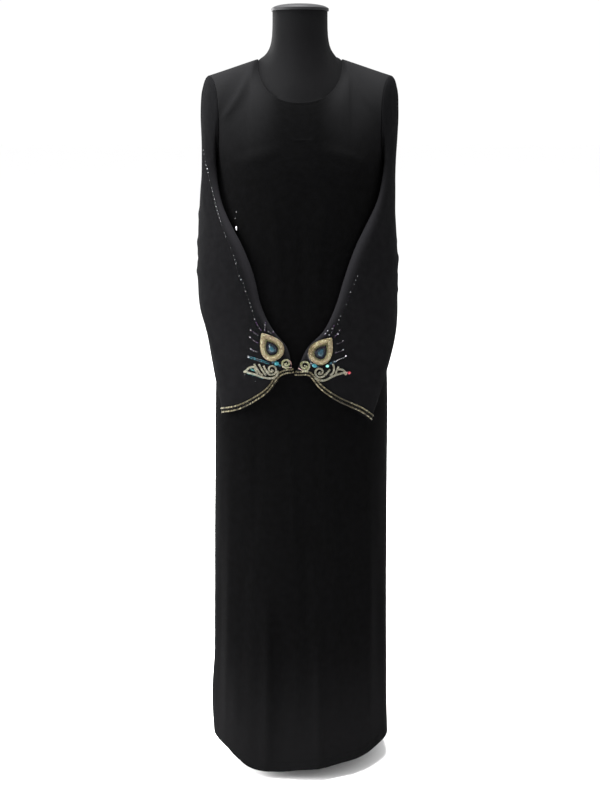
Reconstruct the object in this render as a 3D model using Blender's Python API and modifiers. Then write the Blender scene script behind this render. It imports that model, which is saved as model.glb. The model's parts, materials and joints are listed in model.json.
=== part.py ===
"""A full-length kaftan worn on a limbless dress form.

Metres, +Z up. The front faces -Y, and +X is on the right of someone looking at the front.
The origin lies on the floor, at the middle of the stand's base.
An azimuth is a plan angle in degrees from the front (-Y) towards +X, so 90 is the right side seam.
"""

import math

import bmesh
import bpy
import numpy as np
from mathutils import Vector
from mathutils.bvhtree import BVHTree

COLLECTION = "kaftan_on_dress_form"

# Cloth and seams
WALL = 0.0015
SIDE_SEAM_GAP = 0.0006
SHOULDER_SEAM_GAP = 0.0012
ARMHOLE_GAP = 0.0013

# Worn body below the armholes, outer surface
BODY_COLUMNS = ("height", "left_width", "right_width", "front_depth", "back_depth", "squareness")
BODY_SECTIONS = (
    (0.010, 0.1880, 0.1890, 0.158, 0.150, 2.15),
    (0.180, 0.1855, 0.1870, 0.156, 0.147, 2.15),
    (0.350, 0.1830, 0.1850, 0.153, 0.144, 2.20),
    (0.570, 0.1800, 0.1840, 0.149, 0.139, 2.25),
    (0.760, 0.1770, 0.1830, 0.146, 0.134, 2.30),
    (0.900, 0.1730, 0.1780, 0.143, 0.127, 2.30),
    (1.050, 0.1690, 0.1690, 0.140, 0.110, 2.30),
    (1.200, 0.1670, 0.1670, 0.141, 0.107, 2.30),
    (1.290, 0.1660, 0.1660, 0.128, 0.106, 2.30),
)
ARMPIT_HEIGHT = 1.270

# Hem: lowest left of the middle in front, higher at the sides
HEM_COLUMNS = ("azimuth", "height")
HEM = (
    (-180, 0.040),
    (-130, 0.045),
    (-90, 0.052),
    (-62, 0.0480),
    (-47, 0.0350),
    (-33, 0.0195),
    (-18, 0.0185),
    (0, 0.0255),
    (25, 0.0325),
    (50, 0.0380),
    (72, 0.0500),
    (90, 0.0540),
    (130, 0.0460),
    (180, 0.0400),
)

# Soft skirt folds: ridges that grow from nothing at their top to full depth at the hem
FOLD_COLUMNS = ("azimuth", "half_width", "depth", "top")
SKIRT_FOLDS = (
    (-74, 20, 0.0050, 0.62),
    (-43, 26, 0.0085, 0.70),
    (14, 20, 0.0070, 0.55),
    (43, 15, 0.0035, 0.40),
    (73, 22, 0.0070, 0.66),
    (112, 20, 0.0065, 0.62),
    (152, 22, 0.0090, 0.74),
    (192, 19, 0.0060, 0.52),
    (228, 22, 0.0085, 0.70),
    (262, 17, 0.0045, 0.48),
)
FOLD_GROWTH = 1.3

# Soft bulges low on the two sides
BULGE_COLUMNS = ("azimuth", "half_width", "height", "half_height", "depth")
SIDE_BULGES = (
    (-88, 22, 0.137, 0.055, 0.0055),
    (86, 28, 0.085, 0.060, 0.0045),
)

# Neckline and shoulder seam
NECK_POINT = (0.083, 0.004, 1.480)
SHOULDER_TIP = (0.180, 0.000, 1.449)
NECKLINE_SQUARENESS = 2.3
NECK_SHARE = 0.5

# Front and back above the armpit: neckline, and how the cloth leaves the chest and meets the seams
UPPER = {
    "front": dict(
        sign=-1,
        neck_depth=0.092,
        neck_drop=0.084,
        lean=0.50,
        neck_reach=0.105,
        tip_reach=0.23,
        edge_bulge=0.25,
    ),
    "back": dict(
        sign=1,
        neck_depth=0.062,
        neck_drop=0.020,
        lean=0.30,
        neck_reach=0.105,
        tip_reach=0.20,
        edge_bulge=0.22,
    ),
}
SEAM_RISE = 0.24
ARMHOLE_ROUNDING = 0.10
SEAM_SLOPE = 6.0
ARMHOLE_SCOOP_LOW = 0.03
ARMHOLE_SCOOP_HIGH = 0.09
NECK_SWEEP = 0.085

# Panel grids
SEAM_STEPS = 7
NECK_STEPS = {"front": 14, "back": 10}
LOWER_ROWS = 16
CLOSER_HALFWAY = 0.035
UPPER_ROWS = 10
CLOSER_AT_SEAM = 1.6
SLOPE_STEP = 0.010

# Sleeves, flat and empty, wrapped round the side of the body and pinned together in front.
# The front fold is the edge that shows as a V, the back fold the outer and lower edge.
SLEEVE_COLUMNS = (
    "station", "front_azimuth", "front_height", "front_stand",
    "back_azimuth", "back_height", "back_stand", "loft",
)
SLEEVE_SECTIONS = {
    "left": (
        (0.00, 70.0, 1.272, 0.012, 107.0, 1.246, 0.014, 0.018),
        (0.10, 65.0, 1.234, 0.011, 109.0, 1.184, 0.018, 0.020),
        (0.25, 54.5, 1.177, 0.010, 105.0, 1.110, 0.022, 0.021),
        (0.40, 43.0, 1.122, 0.009, 98.0, 1.052, 0.026, 0.020),
        (0.55, 35.0, 1.066, 0.009, 90.0, 0.996, 0.025, 0.017),
        (0.70, 30.0, 1.010, 0.008, 81.0, 0.938, 0.016, 0.012),
        (0.82, 20.5, 0.965, 0.008, 73.5, 0.888, 0.011, 0.009),
        (0.92, 8.5, 0.924, 0.008, 66.0, 0.838, 0.009, 0.009),
        (1.00, 5.2, 0.880, 0.009, 58.0, 0.786, 0.009, 0.009),
    ),
    "right": (
        (0.00, 70.0, 1.272, 0.012, 107.0, 1.246, 0.012, 0.012),
        (0.10, 64.0, 1.234, 0.011, 109.0, 1.184, 0.013, 0.012),
        (0.25, 52.5, 1.177, 0.010, 105.0, 1.110, 0.016, 0.014),
        (0.40, 42.0, 1.122, 0.009, 98.0, 1.052, 0.019, 0.016),
        (0.55, 34.5, 1.066, 0.009, 90.0, 0.996, 0.020, 0.013),
        (0.70, 28.0, 1.010, 0.008, 81.0, 0.938, 0.017, 0.011),
        (0.82, 19.0, 0.965, 0.008, 71.0, 0.886, 0.012, 0.009),
        (0.92, 4.0, 0.924, 0.008, 61.0, 0.832, 0.009, 0.009),
        (1.00, -3.5, 0.875, 0.009, 51.0, 0.775, 0.009, 0.009),
    ),
}
SIDE_SIGN = {"left": -1, "right": 1}

# Cuff mouth: height above the straight line from fold to fold, at shares of the way across
MOUTH_COLUMNS = ("share", "lift")
MOUTH_CURVE = {
    "left": (
        (0.00, 0.0000),
        (0.10, 0.0080),
        (0.17, 0.0090),
        (0.27, -0.0050),
        (0.45, -0.0130),
        (0.62, -0.0140),
        (1.00, 0.0000),
    ),
    "right": (
        (0.00, 0.0000),
        (0.12, 0.0130),
        (0.22, 0.0200),
        (0.32, 0.0050),
        (0.55, 0.0010),
        (0.80, 0.0042),
        (1.00, 0.0000),
    ),
}
MOUTH_START = 0.70
SLEEVE_ROWS = 14
HEAD_ROWS = 5
LAST_ROW_SPACE = 1.15
MOUTH_SAMPLE = 0.1
SLEEVE_SQUARENESS = 2.5

# Room between the sleeve's inner face and the body, and what the edging needs on top of it
SLEEVE_CLEARANCE = 0.0034
EDGING_CLEARANCE = 0.0022
EDGING_CLEARANCE_START = 0.78
EDGING_CLEARANCE_END = 0.90

# Shoulder cap of the sleeve: how it leaves the armhole at the top, the folds and the underarm
BESIDE_ARMHOLE = 0.94
UNDER_ARM = 0.05
STRAIGHT_OUT = 0.8
CAP_OUT = 0.055
CAP_OUT_TOP = 0.020
CAP_DROP = 0.025
CAP_HANG = 0.045
CAP_HANG_TOP = 0.185
CAP_FULL_REACH = 0.060

# Beaded edging round each cuff mouth: two raised rows
EDGING_DEPTH = 0.0110
EDGING_GAP = 0.0007
EDGING_TAPE = 0.0010
EDGING_RIDGE = 0.0022
EDGING_ROW = 0.0030
EDGING_SETBACK = 0.0004

# Embroidery on each cuff, in the front view: centre (x, height) in metres and tilt in degrees
TEARDROPS = {
    "left": dict(centre=(-0.0583, 0.9340), tilt=32.0),
    "right": dict(centre=(0.0440, 0.9265), tilt=-36.0),
}
TEARDROP_LENGTH = 0.060
TEARDROP_WIDTH = 0.044
TEARDROP_MIDDLE = -0.12
TEARDROP_TAPER = 0.9
TEARDROP_FULLEST = 0.77
TEARDROP_STEPS = 18
TEARDROP_LEAST = 0.02
TEARDROP_PROFILE = (
    (0.00, 0.0030),
    (0.30, 0.0026),
    (0.42, 0.0010),
    (0.60, 0.0012),
    (0.68, 0.0030),
    (0.90, 0.0028),
    (1.00, 0.0010),
)
SCROLL_COLUMNS = ("cuff", "x", "height", "radius", "turns", "start", "spin")
SCROLLS = {
    "leaf_scroll_left": ("left", -0.0550, 0.8880, 0.0105, 1.35, 200, 1),
    "leaf_scroll_right": ("right", 0.0385, 0.8835, 0.0105, 1.35, -20, -1),
    "curl_left": ("left", -0.0270, 0.9005, 0.0078, 1.30, -60, -1),
    "curl_right": ("right", 0.0095, 0.8960, 0.0080, 1.30, 240, 1),
}
SCROLL_STEPS = 18
SCROLL_INNER = 0.22
CORD_WIDTH = 0.0026
CORD_CREST = 0.0016
CORD_HEIGHT = 0.0020
LEAVES = {
    "left": dict(root=(-0.0670, 0.8850), tip=(-0.1090, 0.8810)),
    "right": dict(root=(0.0505, 0.8815), tip=(0.0925, 0.8805)),
}
LEAF_BOW = 0.0045
LEAF_WIDTH = 0.0200
LEAF_STEPS = 9
LEAF_ENDS = (0.10, 0.98)
LEAF_TAPER = 0.8
LEAF_LEAST = 0.0006
LEAF_PROFILE = (
    (-1.00, 0.0008),
    (-0.78, 0.0020),
    (-0.45, 0.0010),
    (0.00, 0.0018),
    (0.45, 0.0010),
    (0.78, 0.0020),
    (1.00, 0.0008),
)
APPLIQUE_GAP = 0.0008
TEARDROP_GAP = 0.0014

# Dress form: how much looser the kaftan is than the form, below the armpit
FORM_INSET = 0.0021
EDGE_INSET = 0.0022
EDGE_ROWS = ((-1, 1.0), (-2, 0.6), (-3, 0.3))
ARM_PLATE_INSET = 0.0030
EASE_COLUMNS = ("height", "front", "side", "back")
FORM_EASE = (
    (0.785, 0.050, 0.036, 0.042),
    (0.860, 0.032, 0.020, 0.020),
    (0.940, 0.026, 0.016, 0.010),
    (1.070, 0.042, 0.046, 0.024),
    (1.180, 0.013, 0.018, 0.012),
    (1.230, 0.0070, 0.0090, 0.0070),
    (1.270, 0.0021, 0.0021, 0.0021),
)
PLATE_STEPS = 2
NECK_COLUMNS = ("half_width", "front_depth", "back_depth", "front_height", "side_height", "back_height")
NECK_SECTIONS = (
    (0.0700, 0.0800, 0.0560, 1.4180, 1.4880, 1.4720),
    (0.0610, 0.0680, 0.0560, 1.4500, 1.4990, 1.4900),
    (0.0560, 0.0590, 0.0570, 1.4900, 1.5140, 1.5120),
    (0.0540, 0.0560, 0.0560, 1.5320, 1.5360, 1.5380),
    (0.0540, 0.0550, 0.0550, 1.5700, 1.5700, 1.5700),
)
NECK_CAP_RADIUS = 0.0565
NECK_CAP_HEIGHT = 0.0140
NECK_CAP_PROFILE = ((1, 0), (1, 0.35), (0.88, 0.68), (0.55, 0.93), (0, 1))

# Stand
BASE_RADIUS = 0.105
BASE_THICKNESS = 0.008
BASE_CROWN = 0.001
EDGE_ROUND = 0.0025
HUB_RADIUS = 0.026
HUB_HEIGHT = 0.034
HUB_FLARE = 0.010
HUB_FLARE_HEIGHT = 0.006
POLE_RADIUS = 0.0125
POLE_STEPS = 20
PART_GAP = 0.0003
ROUND_STEPS = 40
WELD = 0.00005

# Finishes
FINISH_COLUMNS = ("colour", "roughness", "metallic")
FINISHES = {
    "body_cloth": ((0.012, 0.012, 0.013), 0.75, 0.0),
    "sleeve_cloth": ((0.013, 0.013, 0.014), 0.75, 0.0),
    "bronze_beads": ((0.42, 0.31, 0.13), 0.35, 0.8),
    "gold_beads": ((0.60, 0.47, 0.22), 0.40, 0.7),
    "silver_beads": ((0.52, 0.54, 0.48), 0.40, 0.7),
    "pale_cord": ((0.55, 0.50, 0.34), 0.40, 0.7),
    "jersey": ((0.030, 0.030, 0.032), 0.85, 0.0),
    "base_metal": ((0.02, 0.02, 0.02), 0.45, 0.9),
    "pole_metal": ((0.02, 0.02, 0.02), 0.35, 0.9),
    "plastic": ((0.015, 0.015, 0.015), 0.40, 0.0),
}


def clear_scene():
    for item in list(bpy.data.objects):
        bpy.data.objects.remove(item, do_unlink=True)


def make_collection():
    collection = bpy.data.collections.new(COLLECTION)
    bpy.context.scene.collection.children.link(collection)
    return collection


def make_material(name, finish):
    look = dict(zip(FINISH_COLUMNS, FINISHES[finish]))
    material = bpy.data.materials.new(name)
    material.use_nodes = True
    shader = material.node_tree.nodes["Principled BSDF"]
    shader.inputs["Base Color"].default_value = (*look["colour"], 1.0)
    shader.inputs["Roughness"].default_value = look["roughness"]
    shader.inputs["Metallic"].default_value = look["metallic"]
    return material


def smooth_value(keys, values, at):
    """A value between the rows of a table, on a curve that never overshoots its rows."""
    keys = np.asarray(keys, float)
    values = np.asarray(values, float)
    at = min(max(at, keys[0]), keys[-1])
    step = np.diff(keys)
    rise = np.diff(values) / step
    slope = np.empty_like(values)
    slope[0] = rise[0]
    slope[-1] = rise[-1]
    for i in range(1, len(values) - 1):
        turns = rise[i - 1] * rise[i] <= 0
        slope[i] = 0.0 if turns else 2 * rise[i - 1] * rise[i] / (rise[i - 1] + rise[i])
    i = min(int(np.searchsorted(keys, at, side="right")) - 1, len(step) - 1)
    share = (at - keys[i]) / step[i]
    return float(hermite(values[i], values[i + 1], slope[i] * step[i], slope[i + 1] * step[i], share))


def hermite(start, end, leave, arrive, share):
    """A cubic from start to end that leaves and arrives along the given tangents."""
    s2 = share * share
    s3 = s2 * share
    return (
        start * (2 * s3 - 3 * s2 + 1)
        + end * (3 * s2 - 2 * s3)
        + leave * (s3 - 2 * s2 + share)
        + arrive * (s3 - s2)
    )


def table_row(rows, columns, at):
    """Every named column of a table at a value of its first column."""
    keys = [row[0] for row in rows]
    return {
        name: smooth_value(keys, [row[i] for row in rows], at)
        for i, name in enumerate(columns)
        if i > 0
    }


def ease_in(share):
    share = min(max(share, 0.0), 1.0)
    return share * share * (3 - 2 * share)


def turn_between(azimuth, other):
    """The smaller turn between two azimuths, in degrees."""
    return abs((azimuth - other + 180) % 360 - 180)


def body_radius(azimuth, height, folded=True):
    """Distance from the upright axis to the outside of the worn body, below the armpit."""
    section = table_row(BODY_SECTIONS, BODY_COLUMNS, height)
    angle = math.radians(azimuth)
    depth = section["front_depth"] if math.cos(angle) > 0 else section["back_depth"]
    half_width = section["right_width"] if math.sin(angle) > 0 else section["left_width"]
    power = section["squareness"]
    across = abs(math.sin(angle)) / half_width
    along = abs(math.cos(angle)) / depth
    radius = (across**power + along**power) ** (-1 / power)
    return radius + (skirt_fold(azimuth, height) + side_bulge(azimuth, height) if folded else 0.0)


def skirt_fold(azimuth, height):
    """How far the soft folds push the skirt out."""
    total = 0.0
    for row in SKIRT_FOLDS:
        fold = dict(zip(FOLD_COLUMNS, row))
        away = turn_between(azimuth, fold["azimuth"]) / fold["half_width"]
        if away < 1 and height < fold["top"]:
            grown = ((fold["top"] - height) / fold["top"]) ** FOLD_GROWTH
            total += fold["depth"] * grown * math.cos(away * math.pi / 2) ** 2
    return total


def side_bulge(azimuth, height):
    """How far the two bulges low on the sides push the skirt out."""
    total = 0.0
    for row in SIDE_BULGES:
        bulge = dict(zip(BULGE_COLUMNS, row))
        away = turn_between(azimuth, bulge["azimuth"]) / bulge["half_width"]
        above = abs(height - bulge["height"]) / bulge["half_height"]
        if away < 1 and above < 1:
            total += bulge["depth"] * (math.cos(away * math.pi / 2) * math.cos(above * math.pi / 2)) ** 2
    return total


def plan_point(azimuth, radius, height):
    angle = math.radians(azimuth)
    return np.array((radius * math.sin(angle), -radius * math.cos(angle), height))


def body_point(azimuth, height, stand=0.0, folded=True):
    return plan_point(azimuth, body_radius(azimuth, height, folded) + stand, height)


def hem_height(azimuth):
    return table_row(HEM, HEM_COLUMNS, (azimuth + 180) % 360 - 180)["height"]


def panel_shares(panel):
    """Shares across a panel in the order of their azimuths, with a column exactly at each neck point."""
    seam = np.linspace(NECK_SHARE, 1.0, SEAM_STEPS + 1)
    neck = np.linspace(-NECK_SHARE, NECK_SHARE, NECK_STEPS[panel] + 1)
    shares = [*(-seam[:0:-1]), *neck, *seam[1:]]
    return shares if panel == "front" else shares[::-1]


def panel_azimuth(panel, share):
    return share * 90 if panel == "front" else 180 - share * 90


def neckline_angle(share):
    return math.radians(90 * min(abs(share) / NECK_SHARE, 1.0))


def top_edge(panel, share):
    """A point on the neckline or on the shoulder seam."""
    form = UPPER[panel]
    side = math.copysign(1, share)
    neck = np.array(NECK_POINT)
    if abs(share) <= NECK_SHARE:
        angle = neckline_angle(share)
        power = 2 / NECKLINE_SQUARENESS
        across = neck[0] * abs(math.sin(angle)) ** power
        drop = form["neck_drop"] * max(math.cos(angle), 0.0) ** power
        reach = form["neck_depth"] * max(math.cos(angle), 0.0)
        point = np.array((across, neck[1] + form["sign"] * reach, neck[2] - drop))
    else:
        along = (abs(share) - NECK_SHARE) / (1 - NECK_SHARE)
        point = neck + (np.array(SHOULDER_TIP) - neck) * along
    point[0] *= side
    point[1] += form["sign"] * SHOULDER_SEAM_GAP / 2
    return point


def upper_point(panel, share, rise):
    """A point of the chest or the upper back: rise is 0 at the armpit's height and 1 at the top edge."""
    form = UPPER[panel]
    side = math.copysign(1, share)
    azimuth = panel_azimuth(panel, share)
    start = body_point(azimuth, ARMPIT_HEIGHT)
    end = top_edge(panel, share)
    slope = (start - body_point(azimuth, ARMPIT_HEIGHT - SLOPE_STEP)) / SLOPE_STEP
    to_seam = ease_in(abs(share) / NECK_SHARE)
    chord = float(np.linalg.norm(end - start))
    edge = share * share * share * share
    leave = slope * (chord * (1 - to_seam) + SEAM_RISE * to_seam)
    at_armhole = np.array((-side * ARMHOLE_SCOOP_LOW, form["sign"] * form["edge_bulge"], -ARMHOLE_ROUNDING))
    leave = leave + at_armhole * edge
    lean = math.sqrt(1 - form["lean"] ** 2)
    at_neck = np.array((0.0, -form["sign"] * form["lean"], lean)) * chord
    to_tip = ease_in(2 * abs(share) - 1)
    over = -form["sign"] * (form["neck_reach"] * (1 - to_tip) + form["tip_reach"] * to_tip)
    sideways = ARMHOLE_SCOOP_HIGH * edge - NECK_SWEEP * (1 - to_tip)
    at_seam = np.array((side * sideways, over, abs(over) * math.tan(math.radians(SEAM_SLOPE))))
    arrive = at_neck * (1 - to_seam) + at_seam * to_seam
    return hermite(start, end, leave, arrive, rise)


def lower_rows():
    """Shares of the way up from hem to armpit, closest together halfway, where the skirt's folds begin."""
    even = np.linspace(0, 1, LOWER_ROWS + 1)
    return even + CLOSER_HALFWAY * np.sin(2 * np.pi * even)


def upper_rises():
    """Shares of the way up from the armpit to the top edge, closer together at the shoulder seam."""
    return 1 - (1 - np.linspace(0, 1, UPPER_ROWS + 1)) ** CLOSER_AT_SEAM


def panel_grid(panel):
    """The outer surface of the front or the back: rows from hem to neck, each from one side to the other."""
    grid = []
    for share_up in lower_rows()[:-1]:
        row = []
        for share in panel_shares(panel):
            azimuth = panel_azimuth(panel, share)
            inward = -math.copysign(1, share) * (azimuth_of_gap() if abs(share) == 1 else 0.0)
            azimuth += inward if panel == "front" else -inward
            hem = hem_height(azimuth)
            row.append(body_point(azimuth, hem + (ARMPIT_HEIGHT - hem) * share_up))
        grid.append(row)
    for rise in upper_rises():
        row = [upper_point(panel, share, rise) for share in panel_shares(panel)]
        if rise < 0.5:
            sign = UPPER[panel]["sign"]
            row[0] = row[0] + np.array((0, sign * SIDE_SEAM_GAP / 2, 0))
            row[-1] = row[-1] + np.array((0, sign * SIDE_SEAM_GAP / 2, 0))
        grid.append(row)
    return np.array(grid)


def azimuth_of_gap():
    """Half the side seam's gap, as an angle at the side of the skirt."""
    return math.degrees(SIDE_SEAM_GAP / 2 / BODY_SECTIONS[0][1])


def halves(a, b, c, d):
    """A four-sided face as two flat triangles, always cut from its first corner."""
    return (a, b, c), (a, c, d)


def grid_faces(rows, columns, closed):
    faces = []
    for r in range(rows - 1):
        for c in range(columns if closed else columns - 1):
            low = r * columns
            high = low + columns
            after = (c + 1) % columns
            faces += halves(low + c, low + after, high + after, high + c)
    return faces


def grid_normals(grid, closed):
    """Outward unit normals at the points of a grid. Rows run up, or down a sleeve; columns run across."""
    if closed:
        across = np.roll(grid, -1, axis=1) - np.roll(grid, 1, axis=1)
    else:
        across = np.gradient(grid, axis=1)
    normal = np.cross(across, np.gradient(grid, axis=0))
    normal /= np.linalg.norm(normal, axis=2, keepdims=True)
    reference = grid.mean(axis=1, keepdims=True) if closed else grid * np.array((0, 0, 1))
    outward = np.sign(((grid - reference) * normal).sum())
    return normal * outward


def surface_mesh(name, grid, closed):
    """An open surface through a grid of points, with its faces pointing outwards."""
    rows, columns = grid.shape[:2]
    faces = grid_faces(rows, columns, closed)
    points = grid.reshape(-1, 3)
    corners = np.array([points[list(face)] for face in faces])
    facing = np.cross(corners[:, 1] - corners[:, 0], corners[:, 2] - corners[:, 0])
    centre = corners.mean(axis=1)
    reference = centre * np.array((0, 0, 1))
    if closed:
        reference = np.repeat(grid.mean(axis=1)[:-1], 2 * columns, axis=0)
    if ((centre - reference) * facing).sum() < 0:
        faces = [face[::-1] for face in faces]
    mesh = bpy.data.meshes.new(name)
    mesh.from_pydata([tuple(p) for p in points], [], faces)
    mesh.update()
    return mesh


def add_object(collection, name, mesh, material):
    mesh.materials.append(material)
    mesh.shade_smooth()
    item = bpy.data.objects.new(name, mesh)
    collection.objects.link(item)
    return item


def add_cloth(collection, name, grid, closed, material):
    """A cloth wall whose outside is the grid and whose thickness goes inwards."""
    item = add_object(collection, name, surface_mesh(name, grid, closed), material)
    wall = item.modifiers.new("wall", "SOLIDIFY")
    wall.thickness = WALL
    wall.offset = -1.0
    wall.use_even_offset = False
    wall.use_rim = True
    return item


def rounded_cos(angle, squareness):
    value = math.cos(angle)
    return math.copysign(abs(value) ** (2 / squareness), value)


def rounded_sin(angle, squareness):
    value = math.sin(angle)
    return math.copysign(abs(value) ** (2 / squareness), value)


def column_angles():
    """Angles round a sleeve: 0 at the front fold, 90 on top, 180 at the back fold, 270 underneath."""
    return [math.tau * c / (2 * UPPER_ROWS) for c in range(2 * UPPER_ROWS)]


def armhole_ring():
    """The right armhole's edge, moved out by the seam gap, and the way out from it along the cloth."""
    ring = []
    ways = []
    rises = upper_rises()
    for column in range(2 * UPPER_ROWS):
        step = (column + UPPER_ROWS // 2) % (2 * UPPER_ROWS)
        panel = "front" if step <= UPPER_ROWS else "back"
        rise = rises[step if panel == "front" else 2 * UPPER_ROWS - step]
        edge = upper_point(panel, 1.0, rise)
        inner = upper_point(panel, BESIDE_ARMHOLE, rise)
        outward = edge - inner
        outward[0] = max(outward[0], STRAIGHT_OUT * float(np.linalg.norm(outward)))
        outward /= np.linalg.norm(outward)
        ring.append(edge + ARMHOLE_GAP * outward)
        ways.append(outward)
    return np.array(ring), np.array(ways)


def sleeve_ring(cuff, station):
    """One ring of a sleeve, brought to the right-hand side, with its inner face just clear of the body.

    The station runs from 0 just under the arm to 1 at the cuff mouth.
    """
    section = table_row(SLEEVE_SECTIONS[cuff], SLEEVE_COLUMNS, station)
    near_mouth = ease_in((station - MOUTH_START) / (1 - MOUTH_START))
    toward_edging = (station - EDGING_CLEARANCE_START) / (EDGING_CLEARANCE_END - EDGING_CLEARANCE_START)
    clearance = SLEEVE_CLEARANCE + EDGING_CLEARANCE * ease_in(toward_edging)
    ring = []
    for angle in column_angles():
        to_fold = rounded_cos(angle, SLEEVE_SQUARENESS)
        to_face = rounded_sin(angle, SLEEVE_SQUARENESS)
        share = (1 - to_fold) / 2
        azimuth = section["front_azimuth"] * (1 - share) + section["back_azimuth"] * share
        height = section["front_height"] * (1 - share) + section["back_height"] * share
        height += near_mouth * table_row(MOUTH_CURVE[cuff], MOUTH_COLUMNS, share)["lift"]
        stand = section["front_stand"] * (1 - share) + section["back_stand"] * share
        if to_face >= 0:
            stand += section["loft"] * to_face
        else:
            stand += (clearance - stand) * -to_face
        ring.append(mirrored_body_point(cuff, azimuth, height, stand))
    return np.array(ring)


def mirrored_body_point(cuff, azimuth, height, stand):
    """A point beside the body, on the real side of the cuff and then brought to the right-hand form."""
    sign = SIDE_SIGN[cuff]
    point = body_point(sign * azimuth, height, stand)
    point[0] *= sign
    return point


def sleeve_grid(cuff):
    """The outer surface of a sleeve: rows from the armhole to the cuff mouth, each once round."""
    start, ways = armhole_ring()
    first = sleeve_ring(cuff, 0.0)
    down = sleeve_ring(cuff, UNDER_ARM) - first
    down /= np.linalg.norm(down, axis=1, keepdims=True)
    leave = []
    arrive = []
    for angle, way, rim, ring, hang_way in zip(column_angles(), ways, start, first, down):
        reach = min(float(np.linalg.norm(ring - rim)) / CAP_FULL_REACH, 1.0)
        hang = CAP_HANG + (CAP_HANG_TOP - CAP_HANG) * max(math.sin(angle), 0.0)
        out = way * (CAP_OUT + CAP_OUT_TOP * math.sin(angle))
        leave.append(reach * (out - np.array((0, 0, CAP_DROP))))
        arrive.append(reach * hang * hang_way)
    leave = np.array(leave)
    arrive = np.array(arrive)
    shares = np.linspace(0, 1, HEAD_ROWS + 1) ** CLOSER_AT_SEAM
    rows = [hermite(start, first, leave, arrive, share) for share in shares]
    rows += [sleeve_ring(cuff, station) for station in sleeve_stations(cuff)]
    grid = np.array(rows)
    grid[:, :, 0] *= SIDE_SIGN[cuff]
    return grid


def sleeve_stations(cuff):
    """Stations of a sleeve's rows after the first, the last but one just above the edging."""
    above = sleeve_ring(cuff, 1 - MOUTH_SAMPLE)[0]
    length = float(np.linalg.norm(sleeve_ring(cuff, 1.0)[0] - above)) / MOUTH_SAMPLE
    last = 1 - EDGING_DEPTH * LAST_ROW_SPACE / length
    return [*np.linspace(0, last, SLEEVE_ROWS)[1:], 1.0]


def add_edging(collection, cuff, grid, material):
    """Two raised bead rows on a narrow tape, once round the cuff mouth on the outside of the sleeve."""
    normals = grid_normals(grid, True)[-1]
    edge = grid[-1]
    up_sleeve = grid[-2] - edge
    up_sleeve /= np.linalg.norm(up_sleeve, axis=1, keepdims=True)
    low = EDGING_ROW / 2
    high = EDGING_DEPTH - EDGING_ROW / 2
    profile = (
        (EDGING_SETBACK, EDGING_GAP),
        (EDGING_DEPTH, EDGING_GAP),
        (EDGING_DEPTH, EDGING_TAPE),
        (high, EDGING_RIDGE),
        (high - low, EDGING_TAPE),
        (low + low, EDGING_TAPE),
        (low, EDGING_RIDGE),
        (EDGING_SETBACK, EDGING_TAPE),
    )
    rings = [edge + up_sleeve * along + normals * out for along, out in profile]
    columns = len(edge)
    points = np.concatenate(rings)
    faces = grid_faces(len(rings), columns, True)
    last = (len(rings) - 1) * columns
    for c in range(columns):
        after = (c + 1) % columns
        faces += halves(last + c, last + after, after, c)
    mesh = closed_mesh(f"cuff_edging_{cuff}", points, faces)
    return add_object(collection, f"cuff_edging_{cuff}", mesh, material)


def closed_mesh(name, points, faces):
    """A closed mesh whose near-equal points are merged and whose faces point outwards."""
    mesh = bpy.data.meshes.new(name)
    mesh.from_pydata([tuple(p) for p in points], [], faces)
    work = bmesh.new()
    work.from_mesh(mesh)
    bmesh.ops.remove_doubles(work, verts=work.verts, dist=WELD)
    bmesh.ops.recalc_face_normals(work, faces=work.faces)
    work.to_mesh(mesh)
    work.free()
    return mesh


def sleeve_tree(grid):
    points = [Vector(p) for p in grid.reshape(-1, 3)]
    return BVHTree.FromPolygons(points, grid_faces(grid.shape[0], grid.shape[1], True))


def on_sleeve(tree, across, height, out):
    """The point of a sleeve's face that shows at (across, height) in the front view, moved out."""
    place, normal, _, _ = tree.ray_cast(Vector((across, -1.0, height)), Vector((0, 1, 0)))
    if normal.y > 0:
        normal = -normal
    return np.array(place + normal * out)


def layered_plate(name, rings_low, rings_high):
    """A closed plate from matching underside and top rings, the first ring of each being its middle."""
    layers, count = len(rings_low), len(rings_low[0])
    points = np.concatenate([*rings_low, *rings_high])
    faces = grid_faces(layers, count, True)
    shift = layers * count
    faces += [tuple(shift + i for i in face) for face in faces]
    low = shift - count
    high = 2 * shift - count
    for c in range(count):
        after = (c + 1) % count
        faces += halves(low + c, low + after, high + after, high + c)
    return closed_mesh(name, points, faces)


def teardrop_outline(share):
    """A teardrop of unit size, tip at (0, 0.5) and round end below: share runs once round it."""
    angle = math.tau * share
    across = 0.5 * math.sin(angle) * math.sin(angle / 2) ** TEARDROP_TAPER / TEARDROP_FULLEST
    return across, 0.5 * math.cos(angle)


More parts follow.
